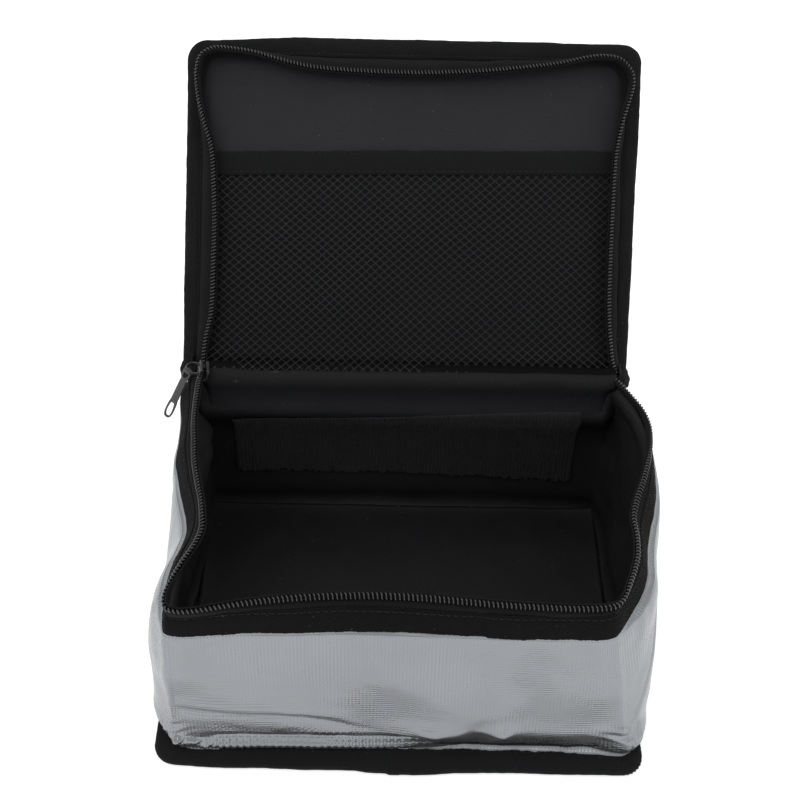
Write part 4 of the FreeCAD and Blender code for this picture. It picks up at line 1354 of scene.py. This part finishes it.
hy, hz = HINGE[1], HINGE[2]
ins = lid(0, 3.4, 11.6)
_mc = (NU + NC) // 2
_ly, _lz = LIN[:, _mc, 1], LIN[:, _mc, 2]
_zt = bx("back_loop_strip")[1][2]
in_pts = [[float(np.interp(z, _lz, _ly)) - o, z] for z, o in
          ((_zt - 4.0, 0.75), (_zt - 1.0, 0.75), (_zt + 2.0, 0.75), (_zt + 5.0, 0.8),
           (_zt + 8.0, 0.9))]
in_pts = [q for q in in_pts if q[1] < hz - 9.5]
in_pts += [[hy - 8.0, hz - 6.6], [hy - 5.9, hz - 3.6], [hy - 3.2, hz - 1.6],
           [hy - 0.4, hz - 0.5], [hy + 2.2, hz - 1.0], [hy + 5.2, hz - 3.2],
           [ins[1], ins[2]]]
_q, _G = hinge_strip(in_pts, 0.7, low=hz - 9.0)
_k = int(np.argmax((_q - HINGE[1:]) @ LD[1:] > -3.25))
# painted shade: the upper strip, behind the foot of the net, takes the very dark copy of the lining
hin2 = solid("hinge_lining_upper", _G[_k - 1:], 0.3, -0.3, M_HINGE_TOP_SHADE)
# the lower part's edge stands a little proud and covers the foot of the net
_G = _G[:_k + 1] - ND * (1.15 * sstep(_k - 11, _k - 3, np.arange(_k + 1)))[:, None, None]
# painted light and shade: the lower hinge strip takes the lining copy graded from bright low down to dark
# at the top
hin = solid("hinge_lining", _G, 0.3, -0.3, M_HINGELIN_SHADED)
outs = lid(0, 3.2, 14.9)
out_pts = [[hy + 0.4, hz - 9.0], [hy + 0.7, hz - 6.0], [hy + 2.2, hz - 4.4], [hy + 5.0, hz - 5.2],
           [hy + 8.4, hz - 8.2], [outs[1], outs[2]]]
hout = solid("hinge_silver", hinge_strip(out_pts, 0.5)[1], 0.3, -0.3, M_SILVER)
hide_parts("lid_hinge_gusset")
for o in (hin, hin2, hout):
    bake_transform(o)

# ----------------------------------------------------- folds at the hinge corners
for side, sgn, j in (("left", -1, 0), ("right", 1, -1)):
    cx_ = {-1: -102.6, 1: 101.6}[sgn]
    wd = {-1: 5.1, 1: 4.7}[sgn]
    yz = [lid(0, 5.0, 13.0)[1:], lid(0, 1.0, 12.8)[1:], lid(0, -2.4, 10.8)[1:],
          [hy + 2.4, hz - 9.6], [hy - 0.4, hz - 8.9], [hy - 2.4, hz - 6.6],
          [hy - 3.2, hz - 3.6]]
    xs_ = [cx_ - sgn * 0.2, cx_, cx_ + sgn * 0.3, cx_ - sgn * 0.1, cx_ - sgn * 1.2,
           cx_ - sgn * 2.4, cx_ - sgn * 3.4]
    Q = np.column_stack([xs_, np.array(yz)])
    tq = arclen(Q)
    Q = resample(hermite(Q, tq, np.linspace(0, tq[-1], 600)), 56)
    f = np.linspace(0, 1, 56)
    wr = wd * (0.72 + 0.30 * gauss(f, 0.40, 0.30)) * (1 - 0.45 * sstep(0.7, 1.0, f)) \
        + 0.35 * N3(f * 9.0, 2.0 + sgn) + 0.18 * np.sin(f * 34)
    th_ = 1.9 + 0.9 * gauss(f, 0.42, 0.22) + 0.25 * N4(f * 11.0, 5.0 + sgn)
    th_ = th_ * (1 - 0.5 * sstep(0.8, 1.0, f))
    V, F, U_2 = tube(Q, th_, 20, np.array([1.0, 0, 0]), rad2=wr)
    cf = make_mesh("corner_fold_" + side, V, F, U_2 * np.array([1.0, 1.2]), M_WEB)
    # the two tapes run into each other round the corner
    Ac = resample(LTAPE[:, j], 12)
    Bc_ = resample(TAPE[:, j], 12)
    cols = []
    for t in np.linspace(0, 1, 9):
        bow = math.sin(math.pi * t)
        cols.append(Ac * (1 - t) + Bc_ * t + bow * np.array([sgn * 0.6, 0.6, -1.2]))
    G = np.stack(cols, 1)
    ct_ = solid("corner_tape_" + side, G, 0.3, -0.3, M_TAPE)
    # a web of lining closes the inside of the fold
    _x = cx_ - sgn * 0.8
    _e = np.array([np.full(56, _x),
                   np.linspace(float(lid(0, 3.0, 7.0)[1]), hy - 2.0, 56),
                   np.linspace(float(lid(0, 3.0, 7.0)[2]), hz - 2.6, 56)]).T
    _q0 = Q.copy()
    _q0[:, 0] = _x + (Q[:, 0] - cx_) * 0.5
    G = np.stack([_q0 * (1 - t) + _e * t
                  + np.array([sgn, 0, 0]) * (0.7 * math.sin(math.pi * t)
                                             + 0.3 * math.sin(9 * t + sgn))
                  for t in np.linspace(0, 1, 12)], 1)
    cw = solid("corner_web_" + side, G, 0.35, -0.35, M_TAPE, n=np.broadcast_to(
        np.array([float(sgn), 0, 0]), G.shape))
    for o in (cf, cw):
        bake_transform(o)
    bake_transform(ct_)

# -------------------------------------------------------------- corner end tabs
for nm, sgn in (("binding_end_tab_left", -1), ("binding_end_tab_right", 1)):
    lo, hi = bx(nm)
    c0 = (lo + hi) / 2
    nU, nV = 36, 20
    th = np.linspace(0, 2 * np.pi, nU, endpoint=False)
    ph = np.linspace(0.02, np.pi - 0.02, nV)
    TT, PP = np.meshgrid(th, ph)
    sq = lambda t: np.sign(np.cos(t)) * np.abs(np.cos(t)) ** 0.6
    sx_ = np.sign(np.cos(TT)) * np.abs(np.cos(TT)) ** 0.6 * np.sin(PP) ** 0.6
    sy_ = np.sign(np.sin(TT)) * np.abs(np.sin(TT)) ** 0.6 * np.sin(PP) ** 0.6
    sz_ = np.sign(np.cos(PP)) * np.abs(np.cos(PP)) ** 0.7
    k = 1 + 0.10 * N3(TT * 1.6, PP * 3) + 0.07 * np.sin(sz_ * 9)
    half = (hi - lo) / 2
    P = np.stack([c0[0] + sx_ * half[0] * k, c0[1] + sy_ * half[1] * k,
                  c0[2] + sz_ * half[2] * k], -1)
    R0, C0 = P.shape[:2]
    q, rr, cx = quads(R0, C0, True, 0, True)
    uvp = uv_of(P, True)
    V = P.reshape(-1, 3)
    Fq = [q]
    Uq = [uvp[rr, cx]]
    for row, rev in ((0, True), (R0 - 1, False)):
        for kk in range(C0 // 2 - 1):
            f = [row * C0 + kk, row * C0 + kk + 1, row * C0 + C0 - 2 - kk,
                 row * C0 + C0 - 1 - kk]
            if not rev:
                f = f[::-1]
            Fq.append(np.array([f]))
            Uq.append(np.zeros((1, 4, 2)))
    tab = make_mesh(nm.replace("binding_end_tab", "folded_end"), V,
                    np.concatenate(Fq), np.concatenate(Uq), M_WEB)
    place(tab, "bag", SLOT[nm], nm)

# ------------------------------------------------------------- carrying handle
HP = np.array(JOINTS["handle_tilt"]["pos_m"]) * 1000
hr = float((HP - HINGE) @ LD)
hh0 = float((HP - HINGE) @ ND)
_al, _ah = bx("handle_anchor_left")
_sl, _sh = bx("handle_strap")
SH = (_sh[0] - _sl[0]) / 2
arch = np.array([[-SH - 17, -2.1], [-SH - 9, -1.95], [-SH - 2.5, -1.4], [-SH + 1.8, 2.6],
                 [-SH + 6.0, 13.5], [-SH + 12, 20.0], [-SH + 21, 23.6], [-SH + 34, 25.0],
                 [-SH + 48, 25.2], [0, 25.0]])
arch = np.concatenate([arch, np.column_stack([-arch[-2::-1, 0], arch[-2::-1, 1]])])
arch[:, 0] *= 1.0
A = np.column_stack([arch, np.zeros(len(arch))])
ta = arclen(A)
A = resample(hermite(A, ta, np.linspace(0, ta[-1], 1500)), 330)
nw = 17
wv = np.linspace(-1, 1, nw)
Wd = 9.8
G = np.zeros((nw, len(A), 3))
TAx = np.gradient(A[:, :2], axis=0)
TAx = TAx / np.linalg.norm(TAx, axis=1, keepdims=True)
Na = np.column_stack([-TAx[:, 1], TAx[:, 0]])
sA = arclen(A)
for i, w in enumerate(wv):
    cup = 0.35 * (1 - w * w) + 0.10 * N5(sA / 8.0, w * 2)
    xx_ = A[:, 0] + Na[:, 0] * cup
    hh_ = A[:, 1] + Na[:, 1] * cup
    G[i] = lid(xx_, hr + w * Wd + 0.05 * N4(sA / 3.0) * (abs(w) > 0.9), hh0 + hh_)
strap = solid("handle_webbing_strap", G, 0.8, -0.8, M_HANDLE)
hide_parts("handle_strap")
_hr = float((np.array(JOINTS["handle_tilt"]["pos_m"], float) * 1000 - HINGE) @ LD)
tuple(float(q) * MM for q in lid(0, _hr, 16.4))
tuple(float(q) * MM for q in lid(0, _hr, 27.0))
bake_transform(strap)
for nm, sgn in (("handle_anchor_left", -1), ("handle_anchor_right", 1)):
    lo, hi = bx(nm)
    x0, x1 = lo[0], hi[0]
    nxx = 46
    xs = np.linspace(x0, x1, nxx)
    ws = np.linspace(-10.4, 10.4, 30)
    Xa, Wa = np.meshgrid(xs, ws)
    e = np.minimum(np.minimum(Xa - x0, x1 - Xa), 10.4 - np.abs(Wa))
    Ha = 16.1 + 0.9 * sstep(0, 1.6, e) + 0.15 * N3(Xa / 4.0, Wa / 4.0)
    an = solid(nm.replace("handle_anchor", "handle_patch"), lid(Xa, hr + Wa, Ha),
               -0.45, 0.45, M_HANDLE)
    place(an, "lid", SLOT[nm], nm)
    sb = Batch()
    a0, a1 = x0 + 2.6, x1 - 2.6
    loop = [(a0, -8), (a1, -8), (a1, 8), (a0, 8), (a0, -8), (a1, 8), (a1, -8), (a0, 8)]
    for (p, q_), (r_, s_) in zip(loop[:-1], loop[1:]):
        L = np.stack([np.linspace(p, r_, 30), np.linspace(q_, s_, 30)], 1)
        stitches(sb, lid(L[:, 0], hr + L[:, 1], 17.55), np.tile(ND, (30, 1)), 2.0,
                 0.7, 0.22, 0.1)
    so = sb.build("handle_box_stitch_" + ("left" if sgn < 0 else "right"), M_THREAD)
    place(so, "lid", SLOT[nm])

# --------------------------------------------------------------- zipper slider
def ring_plate(b, out2, in2, t, fr, bev=0.22):
    """Flat plate with a hole; out2 and in2 are loops of (along, across) mm."""
    o, e1, e2, e3 = fr
    n = len(out2)
    c_ = out2.mean(0)
    di = unit(out2 - in2)
    sec_ = [(out2 - di * bev, -t / 2), (out2, -t / 2 + bev), (out2, t / 2 - bev),
            (out2 - di * bev, t / 2), (in2 + di * bev * 0.6, t / 2),
            (in2, t / 2 - bev * 0.6), (in2, -t / 2 + bev * 0.6),
            (in2 + di * bev * 0.6, -t / 2)]
    V = np.concatenate([o + q[:, :1] * e1 + q[:, 1:] * e2 + h_ * e3 for q, h_ in sec_])
    m_ = len(sec_)
    i_, j_ = np.meshgrid(np.arange(m_), np.arange(n), indexing="ij")
    i2, j2 = (i_ + 1) % m_, (j_ + 1) % n
    F = np.stack([i_ * n + j_, i2 * n + j_, i2 * n + j2, i_ * n + j2], -1).reshape(-1, 4)
    b.add(V, F, np.zeros((len(F), 4, 2)))


def box_piece(b, fr, x0, x1, y0, y1, z0, z1, taper=1.0, rnd=0.35, n=12):
    """Soft-edged block in the frame fr; taper narrows it across towards x1."""
    o, e1, e2, e3 = fr
    u_ = np.concatenate([[0, 0.04], np.linspace(0.12, 0.88, n - 4), [0.96, 1]])
    ring = []
    for k in range(24):
        a_ = 2 * math.pi * (k + 0.5) / 24
        cs, sn = math.cos(a_), math.sin(a_)
        ring.append((math.copysign(abs(cs) ** rnd, cs), math.copysign(abs(sn) ** rnd, sn)))
    ring = np.array(ring)
    rows_ = []
    for t in u_:
        sh = 1 - 0.28 * (1 - min(1, t / 0.10)) ** 2 - 0.28 * (1 - min(1, (1 - t) / 0.10)) ** 2
        w_ = (y1 - y0) / 2 * sh * (1 + (taper - 1) * t)
        h_ = (z1 - z0) / 2 * sh
        x_ = x0 + (x1 - x0) * t
        rows_.append(o + x_ * e1 + ((y0 + y1) / 2 + ring[:, :1] * w_) * e2
                     + ((z0 + z1) / 2 + ring[:, 1:] * h_) * e3)
    R0, C0 = len(rows_), 24
    V = np.concatenate(rows_)
    q, _r, _c = quads(R0, C0, True)
    F = [q]
    for row, rev in ((0, True), (R0 - 1, False)):
        for kk in range(C0 // 2 - 1):
            f = [row * C0 + kk, row * C0 + kk + 1, row * C0 + C0 - 2 - kk,
                 row * C0 + C0 - 1 - kk]
            F.append(np.array([f[::-1] if rev else f]))
    F = np.concatenate(F)
    b.add(V, F, np.zeros((len(F), 4, 2)))


_pj = np.array(JOINTS["pull_swing"]["pos_m"], float) * 1000
SO = _pj + np.array([5.4, 4.8, 0.6])                       # slider centre
S1 = unit(np.array([0.12, -0.99, 0.06]))                   # along the travel
S3 = np.array([-0.93, -0.10, 0.34])
S3 = unit(S3 - (S3 * S1).sum() * S1)                       # outward, to the crown
S2 = np.cross(S3, S1)
S2 = S2 * (1 if S2[0] > 0 else -1)                         # across, inward
SFR = (SO, S1, S2, S3)
sbt = Batch()
for z0_, z1_ in ((1.45, 2.25), (-2.25, -1.45)):
    box_piece(sbt, SFR, -4.2, 4.1, -3.3, 3.1, z0_, z1_, 0.86, 0.42)
for y_ in (2.55, -2.8):
    for z0_, z1_ in ((0.85, 1.8), (-1.8, -0.85)):
        box_piece(sbt, SFR, -4.2, 4.1, y_ - 0.4, y_ + 0.4, z0_, z1_, 1.0, 0.5)
box_piece(sbt, SFR, -4.3, -1.6, -0.75, 0.75, -1.9, 1.9, 1.3, 0.6)
cr = np.array([[-3.7, 1.9], [-3.9, 3.4], [-3.5, 5.4], [-2.2, 6.9], [-0.2, 7.9], [1.8, 8.5],
               [3.2, 8.2], [4.0, 6.9], [4.0, 4.8], [3.6, 3.2], [3.4, 1.9]])
crp = SO + cr[:, :1] * S1 + cr[:, 1:] * S3
tc = arclen(crp)
crp = resample(hermite(crp, tc, np.linspace(0, tc[-1], 600)), 60)
sbt.add(*tube(crp, 0.48, 14, S2, rad2=0.95))
sob = sbt.build("zipper_slider", M_METAL)
place(sob, "slider", SLOT["slider_body"], "slider_body")

PE = SO + 2.9 * S1 + 7.3 * S3                               # inside the crown
tipp = _pj + np.array([-13.2, 0.2, -24.6])
P1 = unit(tipp - PE)
PLEN = float(np.linalg.norm(tipp - PE)) + 1.2
P2 = np.array([0.84, -0.42, -0.34])
P2 = unit(P2 - (P2 * P1).sum() * P1)
P3 = np.cross(P1, P2)
pbt = Batch()
la = np.linspace(0, 2 * math.pi, 72, endpoint=False)


def loop2(x0, x1, w0, w1, e=0.75):
    """Egg outline from x0 to x1 with half widths w0 and w1."""
    c_, s_ = np.cos(la), np.sin(la)
    x_ = (x0 + x1) / 2 + (x1 - x0) / 2 * np.sign(c_) * np.abs(c_) ** e
    f = (x_ - x0) / (x1 - x0)
    return np.column_stack([x_, (w0 * (1 - f) + w1 * f) * np.sign(s_) * np.abs(s_) ** e])


PO = PE - P1 * 1.6
PFR = (PO, P1, P2, P3)
# eye with its slot, neck, and the holed end
ring_plate(pbt, loop2(0.0, 7.6, 2.35, 1.95, 0.62), loop2(0.95, 6.0, 1.35, 1.0, 0.7), 1.15, PFR)
box_piece(pbt, PFR, 6.2, PLEN - 8.6, -1.72, 1.72, -0.56, 0.56, 1.05, 0.34)
ring_plate(pbt, loop2(PLEN - 12.4, PLEN + 1.3, 2.0, 2.35, 0.72),
           loop2(PLEN - 9.4, PLEN + 0.35, 1.05, 1.5, 0.85), 1.1, PFR)
pob = pbt.build("zipper_pull", M_METAL)
place(pob, "pull", SLOT["pull_tab"], "pull_tab")

for nm, mt in (("base_stiffener_board", M_BOARD), ("base_padding", M_FIBRE)):
    ob = frame["nodes"][nm]
    ob.data.materials.clear()
    ob.data.materials.append(mt)

# --------------------------------------------------------- floor, lights, camera
me = bpy.data.meshes.new("studio_floor")
s = 6.0
me.from_pydata([(-s, -s, 0), (s, -s, 0), (s, s, 0), (-s, s, 0)], [], [(0, 1, 2, 3)])
fl = bpy.data.objects.new("studio_floor", me)
COL.objects.link(fl)
fl.location.z = -0.0002
mf = bpy.data.materials.new("studio_floor")
mf.use_nodes = True
mf.node_tree.nodes["Principled BSDF"].inputs["Base Color"].default_value = (0.85, 0.85, 0.85, 1)
mf.node_tree.nodes["Principled BSDF"].inputs["Roughness"].default_value = 0.9
mf.node_tree.nodes["Principled BSDF"].inputs["Specular IOR Level"].default_value = 0.1
mf.node_tree.nodes["Principled BSDF"].inputs["Emission Color"].default_value = (1, 1, 1, 1)
mf.node_tree.nodes["Principled BSDF"].inputs["Emission Strength"].default_value = 0.42
me.materials.append(mf)

w = bpy.data.worlds.new("studio")
SCENE.world = w
w.use_nodes = True
bg = w.node_tree.nodes["Background"]
bg.inputs[0].default_value = (1.0, 1.0, 1.0, 1)
bg.inputs[1].default_value = 0.74


def area(name, loc, target, size, power, size_y=None, color=(1, 1, 1)):
    d = bpy.data.lights.new(name, "AREA")
    d.energy = power
    d.size = size
    d.color = color
    if size_y:
        d.shape = "RECTANGLE"
        d.size_y = size_y
    o = bpy.data.objects.new(name, d)
    COL.objects.link(o)
    o.location = loc
    o.rotation_euler = (Vector(target) - Vector(loc)).to_track_quat("-Z", "Y").to_euler()
    return o


area("key_soft", (-0.55, -0.55, 1.35), (0, 0, 0.06), 1.3, 7.5, 1.0)
area("fill_soft", (0.95, -0.5, 0.9), (0, 0, 0.06), 1.0, 3.0, 1.0)
area("top_soft", (0.1, 0.55, 1.5), (0, 0.05, 0.1), 1.4, 4.0, 1.0)

# camera: 43.4 degrees down, nearly square on, a long lens
e, rl, az = math.radians(43.4), math.radians(1.5), math.radians(0.5)
v = np.array([math.sin(az) * math.cos(e), math.cos(az) * math.cos(e), -math.sin(e)])
r = np.array([math.cos(az), -math.sin(az), 0.0])
u = np.cross(r, v)
r2 = math.cos(rl) * r + math.sin(rl) * u
u2 = -math.sin(rl) * r + math.cos(rl) * u
target = np.array([-2.8, BD - 72.0 + 80.5 - 0.5, 60.0])
target[1] = 92.25
C = target - v * 731.1
cam = bpy.data.cameras.new("camera")
cam.sensor_width = 36.0
cam.lens = 36.0 * 1468.5 / 800.0
cam.clip_start = 0.01
cam.clip_end = 50.0
co = bpy.data.objects.new("camera", cam)
COL.objects.link(co)
mat = Matrix(((r2[0], u2[0], -v[0], C[0] * MM), (r2[1], u2[1], -v[1], C[1] * MM),
              (r2[2], u2[2], -v[2], C[2] * MM), (0, 0, 0, 1)))
co.matrix_world = mat
SCENE.camera = co
SCENE.view_settings.view_transform = "Standard"
SCENE.view_settings.look = "None"
SCENE.view_settings.exposure = 0.0
